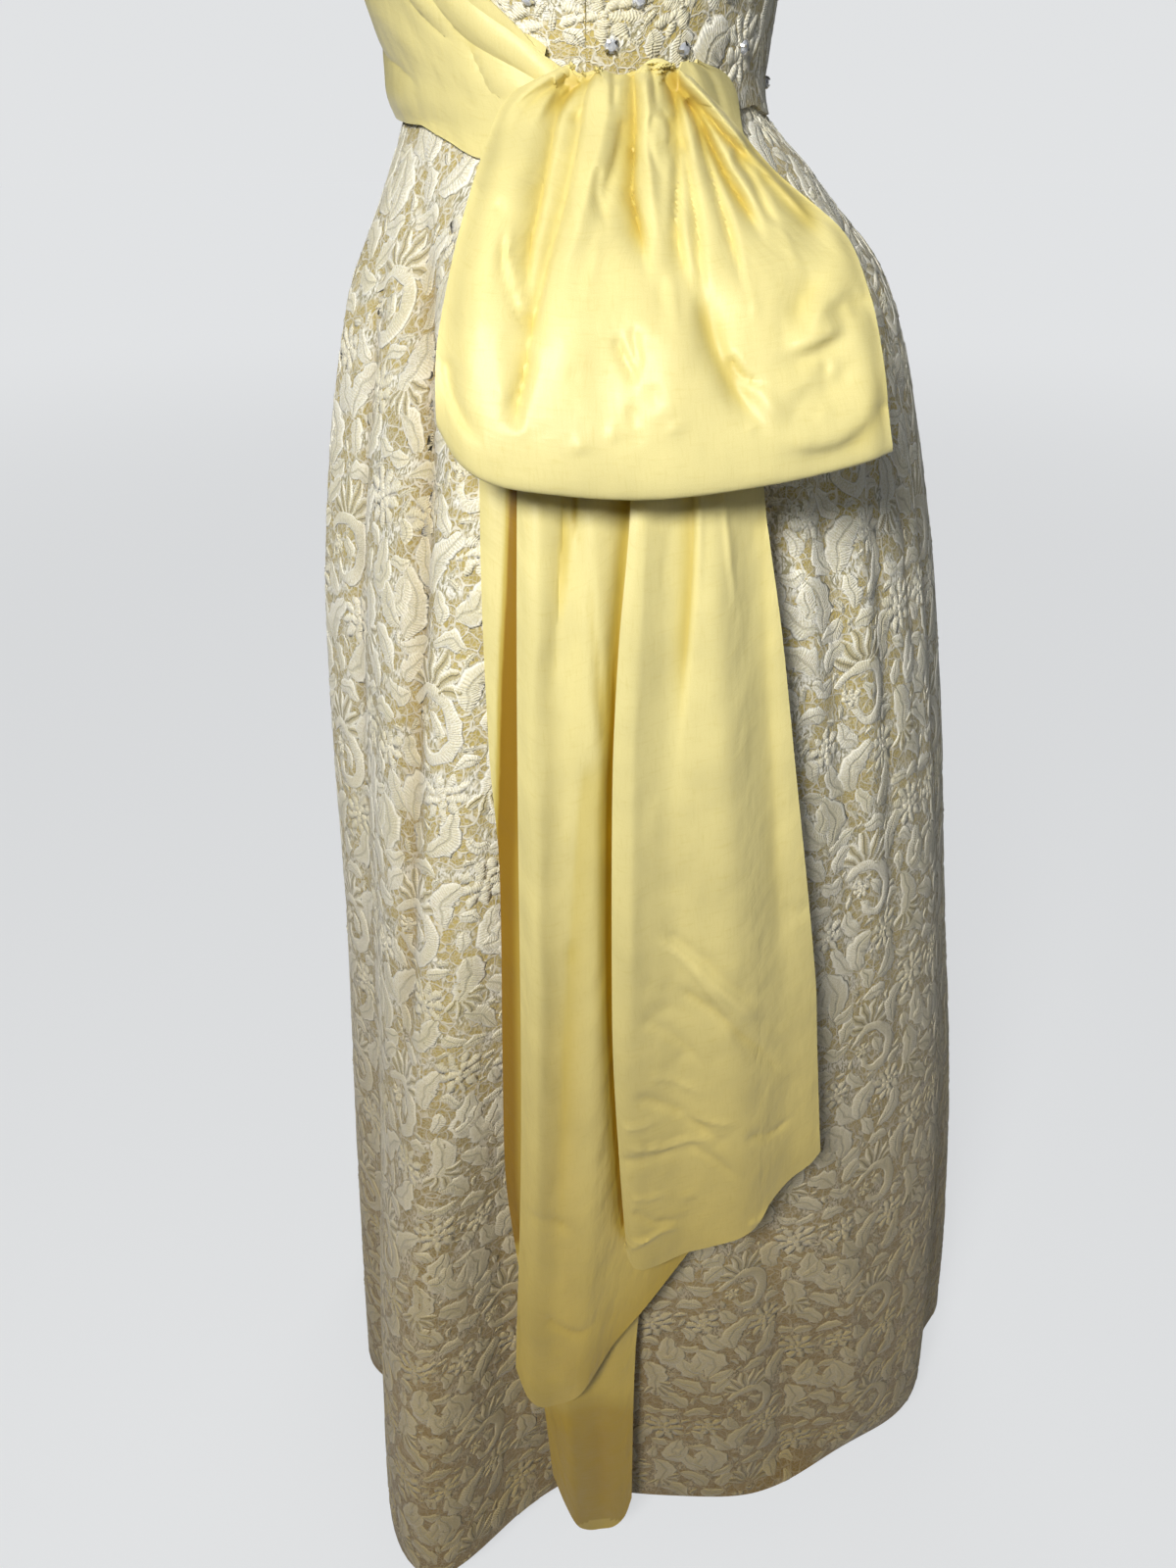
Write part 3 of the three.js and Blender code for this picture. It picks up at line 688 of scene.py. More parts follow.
def lobed_leaf(x, y, angle, length, width, bend, lobes, lift=0.0):
    """A broad leaf that bends, with round lobes along both edges swept towards its tip."""
    start = np.array([x, y])
    middle = start + polar(angle, length * 0.45)
    tip = middle + polar(angle + bend, length * 0.5)
    return stroke([start, middle, tip], [width * w for w in (0.3, 0.8, 1, 0.96, 0.82, 0.6, 0.3)],
                  round(2.6 * lobes), 1.0, lobes=lobes, slant=0.4, lift=lift)


def palmette(x, y, angle, length, width, spread, count):
    """Open petals that fan out from one place, each a cord round a window."""
    return [stroke([np.array([x, y]) + polar(angle + a, length * 0.16),
                    np.array([x, y]) + polar(angle + a, length * 0.55 * (1 - abs(a) / 400)),
                    np.array([x, y]) + polar(angle + a * 1.06, length * (1 - abs(a) / 300))],
                   [width * w for w in (0.35, 0.7, 1, 1.05, 0.6)], 4, 2.0, lift=0.25)
            for a in np.linspace(-spread, spread, count)]


def scroll(x, y, radius, start, turns, width):
    """A band that curls inwards from a start angle."""
    corners = 7
    line = [np.array([x, y]) + polar(start + 360 * turns * k / corners,
                                     radius * (1 - 0.66 * (k / corners) ** 1.5)) * (1, 1.1)
            for k in range(corners + 1)]
    return stroke(line, [width * w for w in (0.4, 0.8, 1, 1, 0.95, 0.5, 0.6)], 20, lift=0.3)


# Windows of the lace, which its motifs leave open: place across, place up, half width, half height.
WINDOWS = ((40, 58, 7, 9), (72, 66, 5, 9), (20, 62, 5, 7), (108, 84, 5, 7), (84, 6, 6, 5), (66, 116, 7, 5))
# Broad leaves of one repeat: place across, place up, heading, length, half width, bend.
LEAVES = (
    (14, 106, 12, 40, 12, -46), (10, 110, -62, 30, 9, 34), (70, 76, -4, 34, 10, 40),
    (112, 52, -44, 42, 11, 50), (116, 46, 30, 26, 9, -30), (34, 2, 2, 36, 11, 40), (30, 4, -50, 28, 9, 26),
    (84, 58, 160, 40, 11, 36), (92, 60, 74, 26, 8.5, -60), (8, 84, -34, 30, 9.5, -30),
    (18, 82, 26, 22, 8, 20), (52, 122, 58, 34, 10, -44), (88, 14, 100, 28, 9, 40),
    (44, 118, -8, 20, 7, -20),
)
LONG_LEAF = 32  # length past which a broad leaf has a fifth lobe


def laid_out_motifs():
    """The main motifs of one repeat, before its gaps are filled."""
    parts = [lobed_leaf(*place, lobes=5 if place[3] > LONG_LEAF else 4, lift=0.1 * (k % 3))
             for k, place in enumerate(LEAVES)]
    parts += palmette(45, 80, 2, 27, 4.6, 66, 6)
    parts.append(scroll(46, 60, 22, -60, 0.86, 5.4))
    parts += rosette(37, 65, 6.5, 6, 12)
    parts += rosette(92, 106, 16.5, 9, 8)
    parts += rosette(62, 24, 15.5, 9, 15)
    parts += rosette(12, 38, 12.5, 7, 0)
    parts += palmette(86, 30, 150, 19, 3.6, 60, 5)
    return parts


def headings(line):
    """Unit steps ahead along a line and to its left, at each of its points."""
    ahead = np.gradient(line, axis=0)
    ahead = ahead / np.maximum(np.linalg.norm(ahead, axis=1), 1e-9)[:, None]
    return ahead, np.stack([-ahead[:, 1], ahead[:, 0]], 1)


def stroke_samples(part):
    """Places all over a stroke, to tell what it covers."""
    line, width = part["line"], part["width"]
    side = headings(line)[1]
    shares = np.linspace(-1, 1, 7)
    spots = line[:, None] + side[:, None] * (width[:, None] * shares)[..., None]
    fine = [lerp(spots[:-1], spots[1:], t) for t in (0, 0.25, 0.5, 0.75)]
    return np.concatenate(fine).reshape(-1, 2)


class RepeatMap:
    """What of one repeat is covered, cell by cell, and wraps as the repeat does."""

    def __init__(self):
        self.covered = np.zeros((int(REPEAT_ACROSS), int(REPEAT_UP)), bool)

    def cells(self, spots):
        column = np.floor(spots[:, 0] / REPEAT_ACROSS)
        x = spots[:, 0] - column * REPEAT_ACROSS
        y = (spots[:, 1] - column * REPEAT_STEP) % REPEAT_UP
        shape = self.covered.shape
        return np.minimum(x.astype(int), shape[0] - 1), np.minimum(y.astype(int), shape[1] - 1)

    def mark(self, part):
        self.covered[self.cells(stroke_samples(part))] = True

    def free(self, part, margin):
        wider = dict(part, width=part["width"] + margin)
        return not self.covered[self.cells(stroke_samples(wider))].any()


FILLER_SEED, FILLER_BEND = 41, 120
# What fills the gaps: length, half width, lobes, tries, and clearance, which is an overlap under zero.
FILLERS = (
    (22, 7.0, 4, 500, -3.2), (16, 5.4, 3, 900, -2.2), (10, 3.2, 0, 700, -1.3), (6, 2.0, 0, 500, -0.5),
)


def lace_repeat():
    """All the motifs of one repeat: those laid out, and small leaves and bars that fill the gaps."""
    parts, cover = laid_out_motifs(), RepeatMap()
    for part in parts:
        cover.mark(part)
    for x, y, wide, high in WINDOWS:
        cover.mark(stroke([(x, y - high), (x, y), (x, y + high)], [wide * 0.6, wide, wide * 0.6], 4))
    chance = np.random.default_rng(FILLER_SEED)
    ranges = REPEAT_ACROSS, REPEAT_UP, 360, FILLER_BEND
    for length, width, lobes, tries, margin in FILLERS:
        for x, y, angle, bend in chance.random((tries, 4)) * ranges:
            made = (x, y, angle, length, width, bend - FILLER_BEND / 2)
            part = lobed_leaf(*made, lobes) if lobes else leaf(*made)
            if cover.free(part, margin):
                cover.mark(part)
                parts.append(part)
    return parts


# Sections across a part: places as shares of its half width, and how far each stands up.
BROAD = np.array([(-1, 0), (-0.75, 1), (0, 0.8), (0.75, 1), (1, 0)])
CORDED = np.array([(-1, 0), (-0.7, 1), (0.7, 1), (1, 0)])
DOMED = np.array([(-1, 0), (0, 1), (1, 0)])
BROAD_FROM = 6.0  # half width from which a corded part has a middle point above
KEEL_FROM = 3.5  # half width from which a part has a middle point below
LACE_KEEL = 1.1  # how far that point reaches into the net's wall
FULL_FROM = 1.6  # half width from which a part stands at its full height
END_RISE = 0.3  # how far a part's two ends stand over its edges


def stroke_mesh(part):
    """A stroke as points (across, up, height) with closed faces, and what its shader reads."""
    line, width = part["line"], part["width"]
    broad = part["cord"] and width.max() > BROAD_FROM
    shares, stand = (BROAD if broad else CORDED if part["cord"] else DOMED).T
    top = bpy.context.scene.gown.lace_rise / MM + part["lift"] - LACE_SINK
    if width.max() > KEEL_FROM:
        shares, stand = np.append(shares, 0), np.append(stand, (LACE_SINK - LACE_KEEL) / top)
    count, wide = len(line), len(shares)
    ahead, side = headings(line)
    swept = ahead * part["slant"]
    flat = (line[:, None] + side[:, None] * (width[:, None] * shares)[..., None]
            + swept[:, None] * (width[:, None] * np.abs(shares))[..., None])
    rise = np.minimum(1, width / FULL_FROM)[:, None] * stand * top + LACE_SINK
    rise[[0, -1]] = LACE_SINK + END_RISE * np.maximum(stand, 0)
    points = np.concatenate([flat, rise[..., None]], -1).reshape(-1, 3)
    k, m = np.meshgrid(np.arange(count - 1), np.arange(wide), indexing="ij")
    a, b = (k * wide + m).ravel(), (k * wide + (m + 1) % wide).ravel()
    faces = np.stack([a, a + wide, b + wide, b], 1)
    run = np.concatenate([[0], np.cumsum(np.linalg.norm(np.diff(line, axis=0), axis=1))])
    values = {
        "across": np.tile(shares, count),
        "along": np.repeat(run, wide),
        "vein": np.full(count * wide, part["vein"]),
    }
    return points, faces, values


FINE_WANDER, WIDE_WANDER = 0.8, 1.4  # how far the lace's points stray, within a motif and between them
MOTIF_MARGIN = 1.5  # how far inside the cloth's lower and upper edge a motif's middle lies
MOTIF_LOST = 0.6  # share of a motif outside the cloth past which it is left out


def hand_made(points):
    """Lace points moved a little, so no two repeats are just alike and edges aren't ruled."""
    x, y = points[:, 0], points[:, 1]
    shifted = points.copy()
    shifted[:, 0] += (FINE_WANDER * np.sin(y / 1.9 + 2 * np.sin(x / 7.3))
                      + WIDE_WANDER * np.sin(y / 9.1 + x / 23))
    shifted[:, 1] += (FINE_WANDER * np.sin(x / 2.1 + 2 * np.sin(y / 6.1))
                      + WIDE_WANDER * np.sin(x / 8.3 - y / 31))
    return shifted


def lace_motifs(name, cloth, base, parts=None):
    """The lace repeat laid over a cloth, cut at its edges. base is how far the net lies off the cloth."""
    meshes = [stroke_mesh(part) for part in parts or REPEAT]
    low_edge, high_edge = 0.0, cloth.up[-1]
    reach = max(-cloth.across.min(), cloth.across.max())
    columns = range(-int(reach // REPEAT_ACROSS) - 1, int(reach // REPEAT_ACROSS) + 2)
    kept_points, kept_faces, kept_values, count = [], [], {"across": [], "along": [], "vein": []}, 0
    for column in columns:
        drop = column * REPEAT_STEP
        for row in range(int((-drop) // REPEAT_UP) - 1, int((cloth.up[-1] - drop) // REPEAT_UP) + 2):
            shift = np.array([column * REPEAT_ACROSS - REPEAT_ACROSS / 2, row * REPEAT_UP + drop, 0])
            for points, faces, values in meshes:
                moved = hand_made(points + shift)
                middle = moved[:, 1].mean()
                if not low_edge + MOTIF_MARGIN < middle < high_edge - MOTIF_MARGIN:
                    continue
                left, right = cloth.edges(moved[:, 1])
                outside = (moved[:, 0] < left + EDGE) | (moved[:, 0] > right - EDGE)
                if outside.mean() > MOTIF_LOST:
                    continue
                moved[:, 0] = np.clip(moved[:, 0], left + EDGE, right - EDGE)
                moved[:, 1] = np.clip(moved[:, 1], low_edge + EDGE, high_edge - EDGE)
                kept_points.append(moved)
                kept_faces.append(faces + count)
                for key in kept_values:
                    kept_values[key].append(values[key])
                count += len(points)
    points = np.concatenate(kept_points)
    placed, tone = cloth.at(points[:, 0], points[:, 1], base + points[:, 2])
    values = {key: np.concatenate(value) for key, value in kept_values.items()}
    # The cloth's painted shading, carried onto the motifs that lie on it.
    values["trough"] = tone
    return make_mesh(name, placed, np.concatenate(kept_faces), [finish("motif")], None,
                     points[:, :2], values)


REPEAT = lace_repeat()


# ---- The pieces ----

# The seams that bound each panel, as angles.
PANELS = {"front": (-90, 90), "back_left": (90, 180), "back_right": (180, 270)}
# The bodice's lower edge is arched: how high, at what angle, and how widely.
ARCH_HEIGHT, ARCH_ANGLE, ARCH_SPREAD = 9, 100, 30
BODICE_SEAM_HEIGHT = WAIST + 60  # height at which the bodice's seam gaps are measured
EDGE_DRAWN_IN, EDGE_DRAWN_OVER = 2.2, 30  # how far the bodice's lower edge lies in, and over what height


def between_seams(start, end, u, z):
    """Angles between two seams, drawn in by half a seam's gap at each end."""
    def reach(angle):
        return np.linalg.norm(form(angle + 1, z) - form(angle - 1, z), axis=-1) / 2
    return lerp(start + SEAM / 2 / reach(start), end - SEAM / 2 / reach(end), u)


def bodice_edge(angle):
    """Height of the bodice's lower edge, arched and finished with shallow scallops."""
    rise = ARCH_HEIGHT * bump(around(angle - ARCH_ANGLE), ARCH_SPREAD)
    return WAIST + rise - SCALLOP_DEPTH * np.abs(np.sin(np.radians(angle / SCALLOP_WIDTH * 180)))


def angle_at(out):
    """The angle at which the underarm section is a given distance out from the middle."""
    left, square = SECTIONS["left"][-1], SECTIONS["square"][-1]
    return math.degrees(math.asin((out / left) ** (square / 2)))


def bodice_top(angle):
    """Upper edge of the bodice: neckline, then shoulder, then armhole."""
    out = np.abs(form(angle, UNDERARM)[..., 1])
    ahead = np.abs(around(angle)) < 90
    scoop = np.minimum(1, out / NECK["side"]) ** NECK["curve"]
    neck = lerp(np.where(ahead, NECK["front"], NECK["back"]), 0, scoop)
    strap = angle_at(STRAP_END)
    to_side = np.clip((np.abs(angle - np.where(ahead, 0, 180)) - strap) / (90 - strap), 0, 1)
    arm = lerp(UNDERARM, shoulder_height(STRAP_END), (1 - to_side) ** ARMHOLE_CURVE)
    return np.where(out < NECK["side"], neck, np.where(out < STRAP_END, shoulder_height(out), arm))


def to_shoulder(angle):
    """Moves the columns at 30 and 60 degrees to the neck end and the arm end of the shoulder."""
    middle = np.where(angle > 90, 180, 0)
    off = np.abs(angle - middle)
    knots = [0, angle_at(NECK["side"]), angle_at(STRAP_END), 90]
    return middle + np.sign(angle - middle) * np.interp(off, [0, 30, 60, 90], knots)


SKIRT_SCALE = 3.4  # millimetres of cloth in a degree, where creases are placed
SKIRT_CROWDING = 1.35  # how much closer a skirt's rows lie towards the waist
TUCKED_ROWS = 3  # rows of the skirt that go up behind the bodice
TUCKED_IN = 1.7  # how far in they lie
CREASES_GROW = 30  # drop below the waist at which the skirt's creases have their full depth
# Creases of the skirt: (angle, drop below the waist). Their depth and tone also paint shade in hollows and
# highlight on ridges.
SKIRT_CREASES = [
    crease((116.5, 60), (117.5, 165), (117, 230), (118, 330),
           depth=-6, width=(12, 11), tone=-2, fade=(0.2, 0.5)),
    crease((122, 80), (122.5, 200), (123, 330), (124, 470), depth=4, width=11, fade=(0.3, 0.5)),
    crease((128, 70), (127.5, 220), (128.5, 420), (130, 600), depth=-5, width=(12, 13), fade=(0.2, 0.6)),
    crease((134, 60), (133.5, 260), (134, 480), (136, 700), depth=4, width=12, fade=(0.2, 0.6)),
    crease((140, 50), (139, 260), (139.5, 480), (141, 720), depth=-5, width=(14, 13), fade=(0.2, 0.6)),
    crease((151, 60), (150, 260), (150, 520), depth=-5, width=14, fade=(0.2, 0.6)),
    crease((34, 18), (50, 83), (57, 148), (59, 195), (60, 326), (59, 456), (55, 629), (52, 780),
           depth=-13, width=(18, 26), tone=3, fade=(0.15, 0.3)),
    crease((58, 30), (66, 83), (69, 213), (70, 380), (68, 598), (65, 800),
           depth=6, width=(14, 12), fade=(0.15, 0.4)),
    crease((109, 560), (114, 700), (118, 840), (119, 1010),
           depth=-13, width=(15, 24), tone=-3, fade=(0.3, 0)),
    crease((119, 600), (125.5, 740), (129, 880), (130, 1015), depth=8, width=(24, 10), fade=(0.4, 0)),
    crease((84, 900), (86, 960), (88, 1020), depth=-8, width=18, fade=(0.4, 0)),
    crease((30, 20), (36, 200), (36, 420), (33, 600), depth=-7, width=(14, 12), fade=(0.2, 0.5)),
    crease((18, 20), (22, 240), (22, 520), depth=5, width=14, fade=(0.2, 0.5)),
    crease((4, 15), (6, 190), (3, 360), depth=-6, width=(12, 16), fade=(0.2, 0.5)),
    crease((-38, 12), (-40, 220), (-36, 500), depth=-7, width=(18, 12), fade=(0.2, 0.5)),
    crease((-62, 15), (-60, 260), (-64, 520), depth=6, width=16, fade=(0.2, 0.5)),
    crease((165, 20), (163, 260), (160, 600), depth=-7, width=(14, 18), fade=(0.2, 0.5)),
    crease((183, 14), (184, 240), (181, 560), depth=7, width=(20, 18), fade=(0.2, 0.5)),
    crease((207, 10), (206, 200), (208, 480), depth=-6, width=(14, 18), fade=(0.2, 0.5)),
    crease((227, 14), (227, 300), (229, 620), depth=-7, width=(16, 12), fade=(0.2, 0.5)),
    crease((248, 10), (250, 210), (249, 420), depth=6, width=16, fade=(0.2, 0.5)),
    crease((76, 430), (75, 640), (75.5, 860), (77, 1010), depth=-9, width=(20, 16), fade=(0.4, 0.1)),
]


def skirt_cloth(side, hem, columns, rows):
    """A skirt panel from hem to the tuck under the bodice, with its creases."""
    start, end = PANELS[side]
    v = np.linspace(0, 1, rows)[:, None]
    u = np.linspace(0, 1, columns)[None]
    top = bodice_edge(between_seams(start, end, u, WAIST)) + TUCK
    last = 1 - TUCKED_ROWS / rows
    z = np.where(v > last, lerp(WAIST, top, (v - last) / (1 - last)),
                 lerp(WAIST, hem, np.maximum(0, 1 - v / last) ** SKIRT_CROWDING))
    z = np.broadcast_to(z, (rows, columns))
    angle = between_seams(start, end, u, z)
    cloth = Cloth(form(angle, z))
    clear = smooth(0, CREASES_GROW, WAIST - z)
    height, tone = relief(angle * SKIRT_SCALE, WAIST - z, scaled(SKIRT_CREASES, SKIRT_SCALE))
    tucked = -TUCKED_IN * smooth(WAIST - 12, WAIST + 4, z)
    return cloth.lifted(height * clear + tucked, tone * clear)


def scaled(creases, scale):
    """Creases whose places are given in degrees, with them in millimetres of cloth."""
    return [dict(row, path=[(x * scale, y) for x, y in row["path"]]) for row in creases]


def dress(piece, cloth, held, slot, *nodes, with_pieces=()):
    """Hangs a sheet of cloth under the root body and hides the packed parts that it stands for. Its size is
    worked out, but not used.
    """
    width, length, area = cloth.size()
    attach(piece, "root")
    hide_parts(*nodes)


def ride_along(piece):
    """Carries a piece that lies on a sheet of cloth."""
    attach(piece, "root")


def make_skirts():
    """The lace skirt's three panels, each net with its motifs."""
    sizes = {"front": (120, 64), "back_left": (88, 64), "back_right": (56, 60)}
    for side, (columns, rows) in sizes.items():
        cloth = skirt_cloth(side, HEM, columns, rows)
        name = "skirt_" + side
        panel = shell(name + "_net", cloth, 0, -LACE, [finish("net"), finish("net")])
        flowers = lace_motifs(name + "_flowers", cloth, 0.0, [part for part in REPEAT if not part["cord"]])
        leaves = lace_motifs(name + "_leaves", cloth, 0.0, [part for part in REPEAT if part["cord"]])
        ride_along(flowers)
        ride_along(leaves)
        dress(panel, cloth, "gathered", "lace", name, with_pieces=[flowers, leaves])


def make_underskirts():
    """The satin underskirt, a smooth wall inside the lace."""
    sizes = {"front": (50, 40), "back_left": (30, 40), "back_right": (30, 40)}
    for side, (columns, rows) in sizes.items():
        cloth = skirt_cloth(side, HEM + UNDERSKIRT_SHORTER, columns, rows)
        top = -LACE - UNDER_GAP
        panel = shell("underskirt_" + side + "_satin", cloth, top, top - SATIN,
                      [finish("underskirt"), finish("underskirt")])
        dress(panel, cloth, "gathered", "underskirt", "underskirt_" + side)


def bodice_cloth(side, columns, rows):
    """A bodice panel from its lower edge to the neck, shoulder and armhole."""
    start, end = PANELS[side]
    v = np.linspace(0, 1, rows)[:, None]
    u = np.linspace(0, 1, columns)[None]
    angle = to_shoulder(between_seams(start, end, u, BODICE_SEAM_HEIGHT))
    z = lerp(bodice_edge(angle), bodice_top(angle), v)
    angle = np.broadcast_to(angle, z.shape)
    points = yoke(angle, z)
    points[..., 0] += np.where(np.abs(around(angle)) < 90, -SEAM, SEAM) / 2
    cloth = Cloth(points)
    return cloth.lifted(-EDGE_DRAWN_IN * smooth(EDGE_DRAWN_OVER, 0, cloth.up)[:, None])


def make_bodice():
    """The bodice's three panels, lace mounted on satin."""
    sizes = {"front": (70, 56), "back_left": (36, 56), "back_right": (36, 56)}
    for side, (columns, rows) in sizes.items():
        cloth = bodice_cloth(side, columns, rows)
        name = "bodice_" + side
        panel = shell(name + "_net", cloth, LAY + BODICE, LAY, [finish("net"), finish("underskirt")])
        lace = lace_motifs(name + "_motifs", cloth, LAY + BODICE)
        ride_along(lace)
        dress(panel, cloth, "stretched", "lace", name, with_pieces=[lace])


SASH_EDGES = table(
    "angle low high",
    (-89.9, WAIST, WAIST + 112),
    (0, WAIST - 1, WAIST + 112),
    (30, WAIST - 6, WAIST + 98),
    (50, WAIST - 16, WAIST + 68),
    (64, WAIST - 24, WAIST + 48),
    (76, WAIST - 18, WAIST + 28),
    (83.5, WAIST - 6, WAIST + 13),
)
SASH_SCALE = 2.2  # millimetres of cloth in a degree, where creases are placed
SASH_GRID = (120, 44)  # columns and rows of points
SASH_DRAWN_IN = 4.2  # how far its lower edge is drawn in, below the waist
# Creases of the sash: (angle, percent down from its upper edge), drawn together towards the bow. Their
# depth and tone also paint shade in hollows and highlight on ridges.
SASH_CREASES = [
    crease((84, 40), (77, 33), (67, 32), (60, 32.5), (54, 28), (42, 18),
           depth=-2.2, width=(5, 2), tone=-3.5, fade=(0, 0.4)),
    crease((84, 30), (77, 22), (66, 21), (54, 15), (40, 8), depth=1.8, width=(8, 5), fade=(0, 0.4)),
    crease((80, 8), (72, 11), (63, 14), (50, 8), depth=-1.4, width=(2.5, 2), tone=-2.5, fade=(0, 0.5)),
    crease((68, 60), (66, 57), (62, 45), (60, 35), depth=-1.4, width=(2.5, 2), tone=-2, fade=(0.2, 0.3)),
    crease((84, 56), (74, 50), (62, 56), (48, 66), depth=1.6, width=10, fade=(0.1, 0.5)),
    crease((60, 45), (40, 34), (14, 28), (-20, 30), (-60, 38), depth=-1.6, width=(5, 3), tone=-2.5),
    crease((58, 38), (40, 25), (14, 19), (-20, 21), (-60, 30), depth=2.2, width=(9, 6)),
    crease((50, 64), (26, 56), (0, 50), (-40, 54), (-80, 60), depth=2, width=(10, 8)),
    crease((44, 80), (20, 76), (-10, 70), (-50, 74), (-86, 76), depth=-1.6, width=4, tone=-2),
    crease((40, 92), (10, 90), (-30, 88), (-84, 90), depth=1.8, width=8),
    crease((30, 8), (0, 10), (-40, 7), (-84, 12), depth=-1.6, width=(3, 4), tone=-2),
]


def sash_cloth(columns, rows):
    """The band from the right side seam across the front to the bow."""
    edges = SASH_EDGES["angle"]
    angle = np.broadcast_to(np.linspace(edges[0], edges[-1], columns)[None], (rows, columns))
    share = np.broadcast_to(np.linspace(0, 1, rows)[:, None], (rows, columns))
    low, high = read(SASH_EDGES, angle, "low"), read(SASH_EDGES, angle, "high")
    cloth = Cloth(form(angle, lerp(low, high, share)))
    height, tone = relief(angle * SASH_SCALE, (1 - share) * 100, scaled(SASH_CREASES, SASH_SCALE))
    below_waist = smooth(WAIST + 6, WAIST - 8, lerp(low, high, share))
    drawn_in = SASH_DRAWN_IN * smooth(0.3, 0, share) * below_waist
    return cloth.lifted(height - drawn_in, tone)


def make_sash():
    """The draped satin band under the bust."""
    cloth = sash_cloth(*SASH_GRID)
    inner = LAY + BODICE + SASH_LAY
    band = shell("sash_band", cloth, inner + SASH, inner, [finish("satin"), finish("satin")])
    dress(band, cloth, "stretched", "satin", "sash")


BOW_ROWS = table(
    "drop left right back front",
    (-15, -20, 44, 7.4, 16),
    (-8, -29, 50, 7.4, 27),
    (1, -38, 60, 7.85, 35),
    (14, -44, 73, 11, 42),
    (28, -49, 87, 15, 48),
    (50, -56, 115, 21, 54),
    (70, -61, 125, 26, 58),
    (96, -66, 132, 31, 61),
    (126, -67, 137.5, 37, 63),
    (143, -66, 141, 39, 62),
    (157, -62, 139, 40, 60),
)
BOW_BOTTOM = table(
    "share drop",
    (0, 127), (0.04, 140), (0.1, 148), (0.2, 152), (0.45, 155),
    (0.72, 150), (0.9, 144), (1, 139),
)
BOW_TOP = table(
    "share drop",
    (0, -5), (0.1, -11), (0.2, -15), (0.3, -11.5), (0.42, -13), (0.55, -11),
    (0.66, -12.5), (0.78, -17), (0.9, -16), (1, -10),
)
BOW_GRID = (138, 150)
BOW_FLATNESS = 0.6  # how far the bow follows the skirt round: 0 is flat, 1 follows it fully
BOW_FRONT_ROWS = 0.84  # share of its rows that lie on the front
BOW_RELIEF, BOW_SHADING = 1.8, 0.75  # how strongly its creases stand, and how strongly their painted shading shows
BOW_THICKNESS = 3.5  # least distance from its back to its front
BOW_DOWN, BOW_FORWARD = 0.8, 0.5  # powers that square the loop's way down and forward
# How far each side edge of its front rolls back, and over what share of its width.
BOW_ROLLS = {"left": (9, 0.05), "right": (4, 0.03)}
